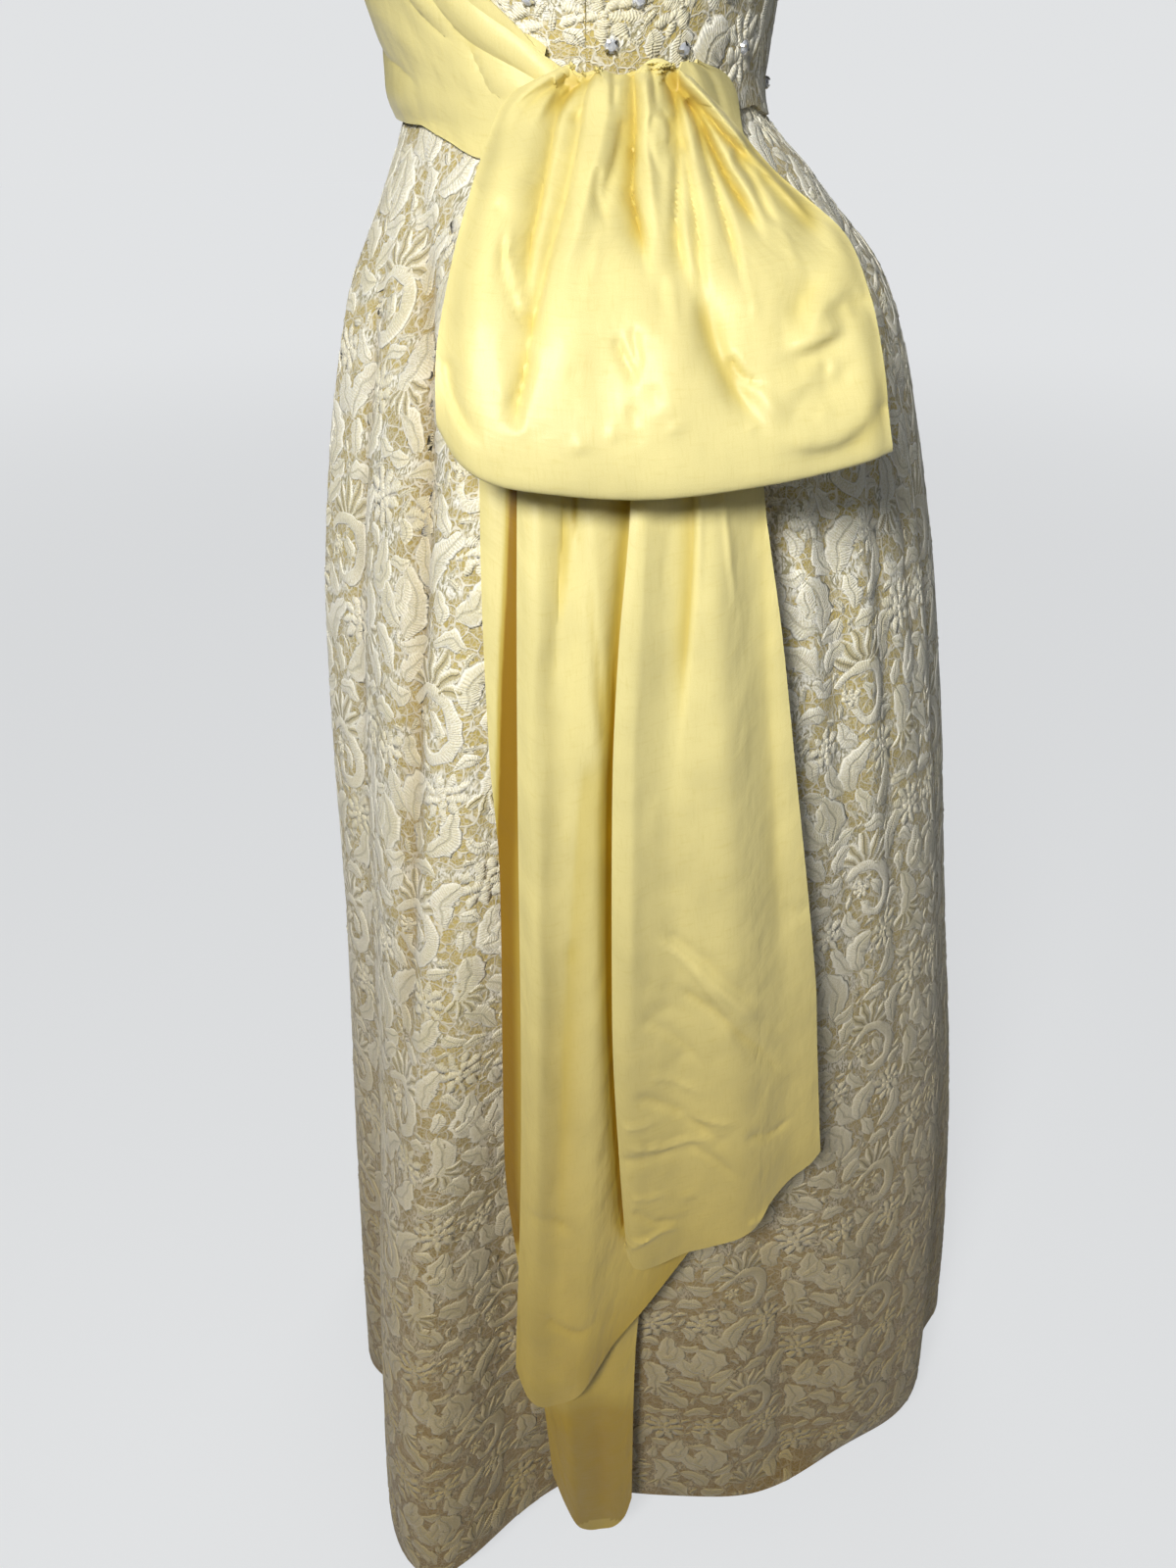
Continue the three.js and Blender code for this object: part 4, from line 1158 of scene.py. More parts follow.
# Creases of the bow's front: (place across in X, drop below the waist). Their depth and tone also paint
# shade in hollows and highlight on ridges.
BOW_CREASES = [
    crease((21, -14), (22, -4), (22, 10), (21, 25), (21, 38), (23.8, 49), (25.3, 58), (28, 70),
           depth=-7, width=(1.8, 6), tone=-1, fade=(0, 0.35), soft=0.45),
    crease((26, -12), (28, 10), (28, 30), (31, 48), (33, 72), depth=3, width=(4, 3), fade=(0.05, 0.6)),
    crease((17, 4), (15.5, 14), (12.2, 25), (8.8, 34), (8, 46),
           depth=-2.6, width=(3.5, 1.5), fade=(0.2, 0.4)),
    crease((3, -13), (-1, -2), (-3, 10), (-6.2, 25), (-9.3, 38), (-13.6, 51), (-18, 66), (-22, 81),
           (-25.6, 96), (-29, 114), (-28, 127),
           depth=-4.6, width=(1.6, 7), fade=(0, 0.3), soft=0.45),
    crease((12, -10), (8, 10), (1, 34), (-6, 56), (-12, 84), depth=3, width=(6, 4), fade=(0.05, 0.5)),
    crease((-3, -12), (-10, 0), (-13.8, 8), (-17, 25), (-21, 42), (-24.3, 55), (-25.4, 68), (-22, 78),
           depth=-4.4, width=(1.6, 6), tone=-0.5, fade=(0, 0.3), soft=0.45),
    crease((-34, 46), (-36, 58), (-33, 69), (-29, 78), (-23, 85), (-18, 93), depth=-2, width=(3, 1.4),
           fade=(0.2, 0.3)),
    crease((-32, 46), (-33.5, 58), (-31, 68), (-27, 77), (-21, 84),
           depth=1.6, width=(1.4, 1.6), fade=(0.2, 0.3)),
    crease((-22, 92), (-27, 107), (-30, 116), (-29, 126),
           depth=-2.4, width=(1.4, 3), tone=-0.5, fade=(0.2, 0.3)),
    crease((6, -12), (-6, -5), (-14, 2), (-20, 12), depth=-3.4, width=(2.4, 1.6), tone=-1, fade=(0, 0.5)),
    crease((-4, -10), (-18, -4), (-27, 4), (-34, 17), depth=-3, width=(3, 2), fade=(0, 0.5)),
    crease((-14, -8), (-28, 0), (-38, 12), depth=-2, width=(2.4, 1.6), fade=(0, 0.5)),
    crease((40, -14), (41, -4), (41, 14), (40.4, 33), (40, 49), (43.3, 64), (50, 76),
           depth=-4.5, width=(1.6, 8), fade=(0, 0.3), soft=0.45),
    crease((36, 0), (37, 20), (36, 44), (35, 66), depth=2.6, width=(4, 3), fade=(0.1, 0.5)),
    crease((36, -12), (42.5, 5.5), (45, 25), (48.5, 45), (50, 64), (52, 74),
           depth=-3.2, width=(1.4, 3.5), fade=(0, 0.3), soft=0.45),
    crease((38.5, -11), (44.7, -2), (51, 5), (57, 18), (64, 31), (72.5, 43.5), (77.3, 54),
           depth=-5, width=(1.4, 3.6), tone=-1.5, fade=(0, 0.3), soft=0.45),
    crease((46, -2), (50, 7.5), (53.4, 20.4), (56.8, 31), (61.5, 45), (66, 61), (70, 74),
           depth=-3.4, width=(1.3, 3), fade=(0.05, 0.3), soft=0.45),
    crease((52, 6), (60.6, 22.4), (66.5, 31.4), (71.4, 39.5), (77.3, 52.6),
           depth=-3.4, width=(1.3, 2.6), fade=(0.1, 0.3), soft=0.45),
    crease((64, 18), (74, 29.6), (79, 39.7), (84, 48), depth=-2.6, width=(1.3, 2), fade=(0.2, 0.3)),
    crease((58, 20), (64, 29), (70, 38), (76, 47), depth=1.8, width=1.4, fade=(0.2, 0.3)),
    crease((40, -13), (44.6, -5.4), (53.5, 3.4), (62.2, 12.5), (69.5, 19.5), (78, 28),
           depth=-5.5, width=(1.8, 2.6), tone=-3, fade=(0, 0.35), soft=0.45),
    crease((66, 12), (78, 23.3), (90.6, 37.1), (100, 46), (108, 56), depth=-5.5, width=(6.5, 5), tone=-1.5,
           fade=(0.2, 0.3), soft=1.8),
    crease((44, -12), (52, -4), (60, 5), (72, 18), (84, 30), (94, 40), (106, 52), depth=2.6, width=(1.5, 2),
           fade=(0.1, 0.2)),
    crease((88, 98), (90, 87), (95, 76), (103.4, 69.6), (116, 66), depth=-3, width=(6, 3.5), tone=-1,
           fade=(0.45, 0.4), soft=1.8),
    crease((120, 71), (110, 71.5), (103, 76), (99, 84), (97, 91), depth=2, width=3.5, fade=(0.3, 0.5)),
    crease((128, 78), (117, 77), (110, 81), (106, 87), depth=-1.7, width=(3, 4), tone=-1, fade=(0.3, 0.5)),
    crease((78, 99), (95.6, 97.5), (108.2, 92.7), (121, 86),
           depth=-1.9, width=(3, 6), tone=-0.5, fade=(0.3, 0.4)),
    crease((84, 91), (96, 90), (106, 87), (114, 83), depth=1.5, width=(4, 3), fade=(0.3, 0.3)),
    crease((50, 60), (50.5, 74), (54, 88), (61, 102), (72, 117), (84, 128),
           depth=-4.4, width=(9, 4), tone=-2.4, fade=(0.35, 0.35), soft=2),
    crease((58, 84), (66, 98), (78, 112), (90, 123), depth=1.6, width=(5, 7), fade=(0.3, 0.3)),
    crease((78, 126), (92, 130), (102, 131), (114, 129), (123, 121), (128, 108), (128, 94), depth=1.4,
           width=(8, 4), fade=(0.3, 0.4), soft=2.5),
    crease((84, 133), (95, 136), (106, 137), (118, 133), (128, 124), (133, 108),
           depth=-1.4, width=(4, 6), tone=-0.8, fade=(0.4, 0.4), soft=2),
    crease((92, 112), (104, 110), (114, 104), (122, 94),
           depth=-1.2, width=(4, 5), fade=(0.4, 0.4), soft=1.6),
    # No fold here: only painted shade along the bow's lower right edge.
    crease((136, 84), (134, 108), (124, 128), (100, 138), depth=0, width=13, tone=-3.6, fade=(0.4, 0.4),
           soft=4),
    crease((12, 88), (18, 98), (23, 107), depth=-1.6, width=(1.3, 1.6)),
    crease((20, 84), (22, 94), (25, 100), depth=-1.2, width=(1.2, 1.4)),
    crease((62, 96), (69, 104), (82, 108), depth=-1.4, width=1.3),
    crease((34, 2), (38, 12), (35, 25), depth=-2.2, width=1.5),
    crease((30, 4), (28, 16), (32, 29), depth=-1.8, width=1.5),
    crease((6, 24), (5, 36), (10, 48), depth=-1.8, width=(2, 2.2)),
    crease((-62, 96), (-60, 110), (-54, 122), (-45, 131), depth=-2.4, width=(3.5, 2)),
    crease((-24, 4), (-36, 34), (-46, 70), (-52, 104), depth=1.8, width=8, fade=(0.2, 0.5), soft=5),
    crease((0, 60), (-7, 90), (-10, 124), depth=1.3, width=(8, 10), fade=(0.4, 0.5), soft=6),
    crease((12, 78), (7, 104), (5, 128), depth=-1.1, width=8, fade=(0.4, 0.5), soft=5),
    crease((34, 70), (37, 100), (33, 134), depth=1.5, width=(12, 10), fade=(0.4, 0.4), soft=6),
    crease((13, -15), (12.5, -4), (12, 6), depth=-2.6, width=1.4, fade=(0, 0.6)),
    crease((30, -15), (31, -5), (31, 6), depth=-2.6, width=1.4, fade=(0, 0.6)),
    crease((-8, -10), (-15, 0), (-22, 12), depth=-2, width=1.4, fade=(0, 0.6)),
    *fine_creases(5, 46, lambda a, b: (lerp(-44, 84, a), lerp(-8, 66, b**0.8)),
                  lambda x, y: (x - 28, 1.1 * (y + 46)), (7, 26), (-1.4, 0.9), (1.1, 1.7)),
    *fine_creases(9, 22, lambda a, b: (lerp(60, 134, a), lerp(60, 128, b)),
                  lambda x, y: (1, -0.5), (6, 22), (-1.0, 0.7), (1.2, 2.2)),
    *fine_creases(23, 18, lambda a, b: (lerp(-56, 50, a), lerp(70, 138, b)),
                  lambda x, y: (0.2, 1), (6, 20), (-0.9, 0.6), (1.2, 2.2)),
]


def bow_cloth(columns, rows):
    """The loop: from its lower fold up the front, over the gathered top and down the back."""
    u = np.broadcast_to(np.linspace(0, 1, columns)[None], (rows, columns))
    lap = np.arange(rows) / rows
    turn = np.interp(lap, [0, BOW_FRONT_ROWS, 1], [0, math.pi, 2 * math.pi])
    turn = np.broadcast_to(turn[:, None], (rows, columns))

    def full(value, power):
        return np.sign(value) * np.abs(value) ** power

    down = 0.5 + 0.5 * full(np.cos(turn), BOW_DOWN)
    forward = 0.5 + 0.5 * full(np.sin(turn), BOW_FORWARD)
    z = lerp(read(BOW_TOP, u, "z"), read(BOW_BOTTOM, u, "z"), down)
    left, right = read(BOW_ROWS, z, "left"), read(BOW_ROWS, z, "right")
    x = lerp(left, right, u)
    height, tone = relief(x, WAIST - z, BOW_CREASES)
    # Painted shading of the creases, on the front only.
    height, tone = BOW_RELIEF * height * forward, BOW_SHADING * tone * forward
    (left_roll, left_share), (right_roll, right_share) = BOW_ROLLS["left"], BOW_ROLLS["right"]
    roll = left_roll * bump(u, left_share) + right_roll * bump(1 - u, right_share)
    back = read(BOW_ROWS, z, "back")
    stand = lerp(back, read(BOW_ROWS, z, "front") - roll, forward) + height
    stand = np.where(forward > 0.5, np.maximum(stand, back + BOW_THICKNESS), stand)
    points = np.stack([x, -side_reach(x * BOW_FLATNESS, z) - stand, z], -1)
    cloth = Cloth(points, looped=True)
    cloth.trough = tone
    return cloth


def make_bow():
    """The bow's one wide loop, gathered at its top, and the folded end beside it."""
    cloth = bow_cloth(*BOW_GRID)
    loop_piece = shell("bow_loop_satin", cloth, 0, -SASH, [finish("satin"), finish("satin")])
    dress(loop_piece, cloth, "gathered", "satin", "bow_loop")
    tuck = tuck_cloth(*TUCK_GRID)
    end = shell("bow_tuck_satin", tuck, 0, -SASH, [finish("satin"), finish("satin")])
    dress(end, tuck, "folded", "satin", "bow_tuck")


TUCK_ROWS = table(
    "drop left right stand",
    (34, 70, 79, 14),
    (20, 60, 78.5, 12.5),
    (7, 52, 76.5, 11.5),
    (-4, 46, 74.5, 11),
    (-10, 44, 70.5, 10.6),
    (-14, 44, 64.7, 10.2),
    (-16.5, 45, 55, 10),
)
TUCK_GRID = (30, 40)
TUCK_LEAN = 1.2  # how far its right edge lies in
TUCK_FOLDS = ((0.35, 0.12, 1.5), (0.62, 0.1, -1.5))  # share across, width, depth


def pleats(u, folds):
    """How far pleats stand out at shares of a cloth's width. folds are (share, width, depth)."""
    return sum(depth * bump(u - place, width) for place, width, depth in folds)


def tuck_cloth(columns, rows):
    """The folded end beside the bow's gathered top."""
    u = np.broadcast_to(np.linspace(0, 1, columns)[None], (rows, columns))
    heights = TUCK_ROWS["z"]
    z = np.broadcast_to(np.linspace(heights[0], heights[-1], rows)[:, None], (rows, columns))
    x = lerp(read(TUCK_ROWS, z, "left"), read(TUCK_ROWS, z, "right"), u)
    stand = read(TUCK_ROWS, z, "stand") - TUCK_LEAN * u**3 + pleats(u, TUCK_FOLDS)
    return Cloth(np.stack([x, -side_reach(x, z) - stand, z], -1))


# Creases of the three streamers, from under to front: (place across in X, drop below the waist). Their
# depth and tone also paint shade in hollows and highlight on ridges.
UNDER_CREASES = [
    # Painted shadow on the under streamer, in the narrow gap beneath the middle streamer's edge.
    crease((-34, 130), (-35.5, 172), (-37.8, 210), (-41.8, 261), (-45.1, 317), (-47.5, 354), (-49, 380),
           (-51, 450), (-52.6, 527), (-54.6, 634), (-50, 700), depth=-1.5, width=(15, 2.4), tone=-18,
           fade=(0, 0.05)),
    crease((-49, 140), (-48, 261), (-47, 400), depth=1.5, width=3, fade=(0.05, 0.4)),
    crease((-14, 860), (-12, 940), (-6, 1000), depth=1.6, width=8, soft=3),
    crease((8, 860), (10, 940), (12, 1000), depth=-1.2, width=8, soft=4),
    # No fold here: only painted shade over the under streamer's low end, which hangs in shade.
    crease((6, 820), (8, 900), (8, 1010), depth=0, width=90, tone=-9.6, fade=(0.5, 0), soft=50),
]
MIDDLE_CREASES = [
    crease((-10, 130), (-10.5, 165), (-12.3, 187), (-15.1, 232), (-17, 280),
           depth=-2.4, width=(3, 1.2), tone=-2, fade=(0, 0.5)),
    crease((-5, 130), (-5, 165), (-8.5, 187), (-10, 215), (-12, 250), depth=-2, width=(1.4, 2.6), tone=-1.5,
           fade=(0, 0.5)),
    crease((-7, 130), (-8, 180), (-11, 230), (-13, 280), depth=1.8, width=(1.6, 1.4), fade=(0, 0.5)),
    crease((-5.6, 150), (-5.6, 173), (-3.3, 184), (-1.4, 191), depth=-1.6, width=1.2, tone=-1),
    crease((2.4, 200), (2.4, 215), (5.4, 245), (8, 276), (9, 300), depth=-1.6, width=(1.2, 2), tone=-1),
    crease((1, 286), (-3.2, 332), (-7.2, 395), (-11.9, 480), (-15.3, 579), (-18, 700),
           depth=-2.2, width=(14, 2.5), tone=-1.6, fade=(0.1, 0.3)),
    crease((-20.4, 229), (-23.6, 271), (-26.5, 339), depth=-1.2, width=(8, 2), tone=-1),
    crease((21, 130), (20.5, 166), (17.6, 202), (14.4, 250), (13.4, 303), (13.5, 362), (14, 427),
           (16.6, 501), (22, 601), (27, 658),
           depth=-2.5, width=6, tone=-3.5, fade=(0, 0.05)),
    # A dark line of painted shadow beside the front streamer's left edge.
    crease((20.6, 150), (17.7, 202), (14.5, 250), (13.3, 303), (12.9, 362), (13.2, 427), (15.4, 501),
           (21.2, 601), (26.6, 666), depth=-0.8, width=(1.6, 2.2), tone=-11, fade=(0.45, 0.04)),
    crease((-22, 140), (-24, 300), (-30, 560), (-34, 720), depth=2.4, width=7, fade=(0.1, 0.4)),
    crease((-14, 380), (-18, 560), (-20, 760), depth=-2.2, width=(5, 8), fade=(0.3, 0.4)),
    crease((-40, 628), (-25, 640), (1, 655), depth=-1.8, width=(1.6, 2.6)),
    crease((-30, 740), (-14, 752), (8, 742), depth=-1.8, width=(1.6, 2.6)),
    # No fold here: only painted shadow on the middle streamer below the front streamer's low end.
    crease((96, 600), (74, 690), (44, 770), (6, 850), depth=0, width=34, tone=-9.5,
           fade=(0.1, 0.2)),
    *fine_creases(43, 14, lambda a, b: (lerp(-30, 14, a), lerp(150, 420, b)),
                  lambda x, y: (-0.06, 1), (20, 80), (-1.2, 0.9), (1.6, 2.6)),
    *fine_creases(47, 8, lambda a, b: (lerp(-40, 10, a), lerp(600, 780, b)),
                  lambda x, y: (1, 0.3), (10, 36), (-0.8, 0.6), (1.6, 2.4)),
]
FRONT_CREASES = [
    crease((50.6, 126), (50.6, 160), (50.9, 185), (50, 222), (48, 262), (46, 310),
           depth=-3, width=(1.3, 8), tone=-2.5, fade=(0, 0.4)),
    crease((55, 126), (54, 170), (54, 220), depth=1.8, width=(2, 4), fade=(0, 0.6)),
    crease((62, 130), (69, 185), (75, 220), depth=1.4, width=1.2, fade=(0, 0.4)),
    crease((29, 150), (28, 200), (25, 260), (25, 350), (26, 430), (29, 520), depth=2.4, width=(9, 5),
           fade=(0, 0.3)),
    crease((32, 457), (52, 452), (67, 465), depth=-0.8, width=(5, 4), tone=-1, soft=2),
    crease((84, 150), (94, 260), (108, 380), (120, 480), depth=-2.6, width=(7, 9), fade=(0.1, 0.4)),
    # Wrinkles with a positive tone, here and below, carry a painted highlight along their crests.
    crease((38, 401), (50, 411), (59, 421), (76, 447), (89, 469), depth=1.9, width=(1.2, 1.8), tone=3,
           fade=(0.2, 0.4)),
    crease((42, 399), (54, 408), (64, 420), (80, 445), depth=-2, width=(3, 1.5), fade=(0.2, 0.4)),
    crease((56, 409), (68, 429), (80, 443), (93, 457), (108, 480), depth=1.7, width=(1.2, 2), tone=2.5,
           fade=(0.2, 0.4)),
    crease((62, 410), (76, 430), (92, 447), (104, 462), depth=-1.8, width=(3, 1.4), fade=(0.2, 0.4)),
    crease((38, 501), (55, 510), (76, 522), depth=1.3, width=(1.1, 1.6), tone=2.5),
    crease((22, 553), (36, 559), (50, 562), (70, 558), (88, 560.5), depth=1.5, width=(1.1, 1.8), tone=3,
           fade=(0.2, 0.3)),
    crease((20, 566), (40, 568), (64, 565), depth=-1.5, width=(2, 4)),
    crease((56, 536), (74, 543), (99, 547), depth=1.3, width=(1.1, 1.6), tone=2.5),
    crease((22, 537), (32, 540), (44, 538), depth=1.2, width=(1.1, 1.4), tone=2.5),
    crease((27, 641), (40, 642.5), (50, 638), (64, 640), depth=1.4, width=(1.1, 1.6), tone=3),
    crease((24, 648), (34, 646), (44, 640), depth=1.2, width=(1, 1.4), tone=2.5),
    crease((28, 600), (40, 604), (52, 603), depth=1.1, width=(1, 1.4), tone=2.5),
    crease((108, 640), (116, 640), (122, 630), depth=1.4, width=3, tone=2),
    crease((50, 437), (75, 458), (101, 489), (125, 521), depth=-2.6, width=(4, 1.6)),
    crease((29, 455), (53, 476), (78, 508), depth=-1.8, width=(3, 1.6)),
    crease((27, 514), (62, 540), (96, 577), depth=-2.4, width=(4, 1.6)),
    crease((29, 612), (43, 628), (64, 634), depth=-1.8, width=(2.5, 1.5)),
    crease((60, 560), (84, 580), (100, 600), depth=-1.6, width=(2.5, 1.5)),
    crease((84, 470), (104, 500), (130, 520), depth=-1.6, width=(2.5, 1.5)),
    crease((100, 560), (118, 566), (134, 558), depth=-1.8, width=(2.5, 1.8)),
    *fine_creases(31, 26, lambda a, b: (lerp(26, 118, a), lerp(380, 560, b)),
                  lambda x, y: (1, 0.8), (8, 46), (-1.0, 0.7), (1.6, 2.6)),
    *fine_creases(37, 12, lambda a, b: (lerp(28, 90, a), lerp(130, 200, b)),
                  lambda x, y: (0.1, 1), (14, 50), (-1.2, 0.9), (1.4, 2.4)),
    *fine_creases(41, 10, lambda a, b: (lerp(26, 80, a), lerp(540, 636, b)),
                  lambda x, y: (1, -0.2), (10, 34), (-0.9, 0.7), (1.4, 2.2)),
]
# Each streamer: columns and rows of points; its edges and how far it stands off the skirt, row by row;
# its low end; its pleats (share across, width, depth); its creases.
STREAMERS = {
    "streamer_under": {
        "grid": (44, 120),
        "rows": table(
            "drop left right stand",
            (-4, -6, 40, 3),
            (16, -10, 44, 3.4),
            (36, -30, 50, 4),
            (84, -48, 56, 6.5),
            (170, -52.5, 56, 9.5),
            (300, -52, 52, 11),
            (370, -49, 50, 11),
            (520, -52.5, 44, 12),
            (620, -54, 42, 12),
            (700, -48, 40, 13),
            (800, -37, 36, 13),
            (1026, -22, 37, 24),
        ),
        "end": table(
            "share drop", (0, 945), (0.1, 980), (0.22, 1006), (0.38, 1021), (0.55, 1025.5),
            (0.7, 1023), (0.84, 1013), (0.93, 1000), (1, 978),
        ),
        "folds": ((0.25, 0.12, 3), (0.6, 0.15, -2.5)),
        "creases": UNDER_CREASES,
    },
    "streamer_middle": {
        "grid": (56, 160),
        "rows": table(
            "drop left right stand",
            (-4, -6, 40, 5),
            (16, -8, 44, 6),
            (36, -22, 52, 8.5),
            (84, -31, 70, 12),
            (160, -33, 76, 18),
            (300, -36, 84, 20),
            (500, -39.6, 92, 21),
            (620, -43.5, 95, 22),
            (800, -52, 96, 25),
            (850, -52, 96, 25),
        ),
        "end": table(
            "share drop", (0, 800), (0.06, 832), (0.16, 846), (0.3, 826),
            (0.5, 764), (0.78, 684), (1, 632),
        ),
        "folds": ((0.06, 0.07, 3.5), (0.2, 0.07, -2.5), (0.33, 0.07, 3), (0.5, 0.09, -3)),
        "creases": MIDDLE_CREASES,
    },
    "streamer_front": {
        "grid": (76, 190),
        "rows": table(
            "drop left right stand",
            (-4, -6, 40, 7),
            (16, -2, 44, 9),
            (36, 6, 54, 13),
            (84, 19, 80, 19),
            (160, 21, 86, 27),
            (230, 16, 99, 29),
            (300, 13.6, 111, 30),
            (450, 14.8, 137, 31),
            (500, 16.5, 143, 31),
            (575, 21, 152, 32),
            (600, 22.6, 155, 32),
            (672, 28, 157, 32),
        ),
        "end": table(
            "share drop", (0, 658), (0.03, 669), (0.12, 672), (0.28, 667),
            (0.5, 657), (0.6, 652), (0.67, 646), (0.74, 630),
            (0.84, 616), (0.95, 605), (1, 596),
        ),
        "folds": ((0.05, 0.08, 3), (0.3, 0.1, -2.5), (0.6, 0.12, 3.5), (0.85, 0.1, -2.5)),
        "creases": FRONT_CREASES,
    },
}
STREAMER_CROWDING = 1.3  # how much closer a streamer's rows lie towards its low end
STREAMER_OPENS = (20, 130)  # drops below the waist between which its creases grow to their full depth
PLEAT_DROP = 250  # distance from its top at which its pleats have their full depth


def streamer_cloth(rows_table, end, folds, creases, columns, rows):
    """A hanging end, from its low end up to where it goes in behind the bow."""
    u = np.broadcast_to(np.linspace(0, 1, columns)[None], (rows, columns))
    v = np.broadcast_to(np.linspace(0, 1, rows)[:, None], (rows, columns))
    top = rows_table["z"].max()
    z = lerp(read(end, u, "z"), top, v**STREAMER_CROWDING)
    x = lerp(read(rows_table, z, "left"), read(rows_table, z, "right"), u)
    gather = np.clip((top - z) / PLEAT_DROP, 0, 1)
    open_folds = smooth(*STREAMER_OPENS, WAIST - z)
    height, tone = relief(x, WAIST - z, creases)
    stand = read(rows_table, z, "stand") + pleats(u, folds) * gather + height * open_folds
    cloth = Cloth(np.stack([x, -side_reach(x, z) - stand, z], -1))
    # Painted shading of the creases, growing with them.
    cloth.trough = tone * open_folds
    return cloth


def make_streamers():
    """The three hanging ends, one on another."""
    for name, shape in STREAMERS.items():
        cloth = streamer_cloth(shape["rows"], shape["end"], shape["folds"], shape["creases"],
                               *shape["grid"])
        piece = shell(name + "_satin", cloth, 0, -SASH, [finish("satin"), finish("satin")])
        dress(piece, cloth, "hung", "satin", name)


# ---- Stones on the bodice ----

# Stones beside the bow: degrees round from the front, and height over the waist.
BOW_STONES = ((78.4, 40), (100.1, 41), (94.6, 23), (112.1, 21), (122.5, 44), (134, 22))
STONE_GRID = (60, 60)
FIRST_STONE_ROW = 14  # height of the lowest row over the bodice's edge
STONE_ROW_RATIO = 0.8  # distance from row to row, as a share of that from stone to stone
STONE_CLEARANCE = 0.6  # least distance of a row's stone from any other, as a share of the same
STONE_SIDE_MARGIN, STONE_TOP_MARGIN, STONE_SASH_MARGIN = 9, 8, 4
HALF_PANEL = 200  # more than half the width of any panel of the bodice
STONE_SEAT = 0.4  # height of a stone's foot over the net
FACING_RUN = 5  # length over which the cloth's facing is measured


def socket_id(tree, name):
    """Identifier of a tree's named input."""
    return next(item.identifier for item in tree.interface.items_tree
                if getattr(item, "in_out", "") == "INPUT" and item.name == name)


def stone_finish():
    """Cut glass: clear, with paler and greyer facets painted on as reflections, and fine scratches."""
    made = Finish("cut stone", roughness=0.04, transmission_weight=0.35, coat_weight=1.0)
    place = made.add("ShaderNodeTexCoord").outputs["Object"]
    facet_glint = made.add("ShaderNodeTexVoronoi", {"Vector": place, "Scale": 520.0}).outputs["Distance"]
    # Painted reflections: facets paler or greyer as if catching or missing the light.
    made.colour(made.mix(made.ramp(facet_glint, 0.2, 0.7), tint("FBFCFF"), tint("C9CDD6")))
    made.bumps((made.noise(place, 900, 2), 0.00002))
    return made.material


def metal_finish():
    """Silvered claws, duller and browner where they are tarnished."""
    made = Finish("silver claw", roughness=0.25, metallic=1.0)
    place = made.add("ShaderNodeTexCoord").outputs["Object"]
    tarnish = made.ramp(made.noise(place, 260, 3), 0.4, 0.7)
    made.colour(made.mix(tarnish, tint("DCDAD4"), tint("9C927E")))
    made.roughness(made.add("ShaderNodeMapRange", {"Value": tarnish, "To Min": 0.18,
                                                   "To Max": 0.45}).outputs[0])
    made.bumps((made.noise(place, 1200, 2), 0.00002))
    return made.material


def cut_stone():
    """A cut stone, standing on the XY plane, one unit across."""
    sides = 8
    rings = [(0.0, 0.34), (0.30, 0.30), (0.50, 0.14), (0.46, 0.0)]  # radius, height
    points, faces = [], []
    for k, (radius, height) in enumerate(rings):
        for s in range(sides):
            a = 2 * math.pi * (s + 0.5 * (k % 2)) / sides
            points.append((radius * math.cos(a), radius * math.sin(a), height))
    for k in range(len(rings) - 1):
        for s in range(sides):
            a, b = k * sides + s, k * sides + (s + 1) % sides
            faces.append((a, a + sides, b + sides, b))
    faces.append(tuple(range((len(rings) - 1) * sides, len(rings) * sides))[::-1])
    mesh = bpy.data.meshes.new("stone")
    mesh.from_pydata(points, [], faces)
    return bpy.data.objects.new("stone", mesh)


def claws():
    """Four claws that lap over a stone's rim."""
    steps = ((0.60, 0.0), (0.56, 0.2), (0.36, 0.34))  # how far out and how high, from foot to tip
    section = ((-0.09, 0), (0.09, 0), (0.09, 0.08), (-0.09, 0.08))  # place across, thickness
    points, faces = [], []
    for k in range(4):
        a = math.pi / 4 + k * math.pi / 2
        out, side = np.array([math.cos(a), math.sin(a), 0]), np.array([-math.sin(a), math.cos(a), 0])
        first = len(points)
        for reach, height in steps:
            for across, thick in section:
                p = out * (reach - thick * 0.7) + side * across
                points.append((p[0], p[1], height + thick))
        for r in (0, 4):
            for s in range(4):
                i, j = first + r + s, first + r + (s + 1) % 4
                faces.append((i, j, j + 4, i + 4))
        faces += [(first + 3, first + 2, first + 1, first), (first + 8, first + 9, first + 10, first + 11)]
    mesh = bpy.data.meshes.new("claws")
    mesh.from_pydata(points, [], faces)
    return bpy.data.objects.new("claws", mesh)


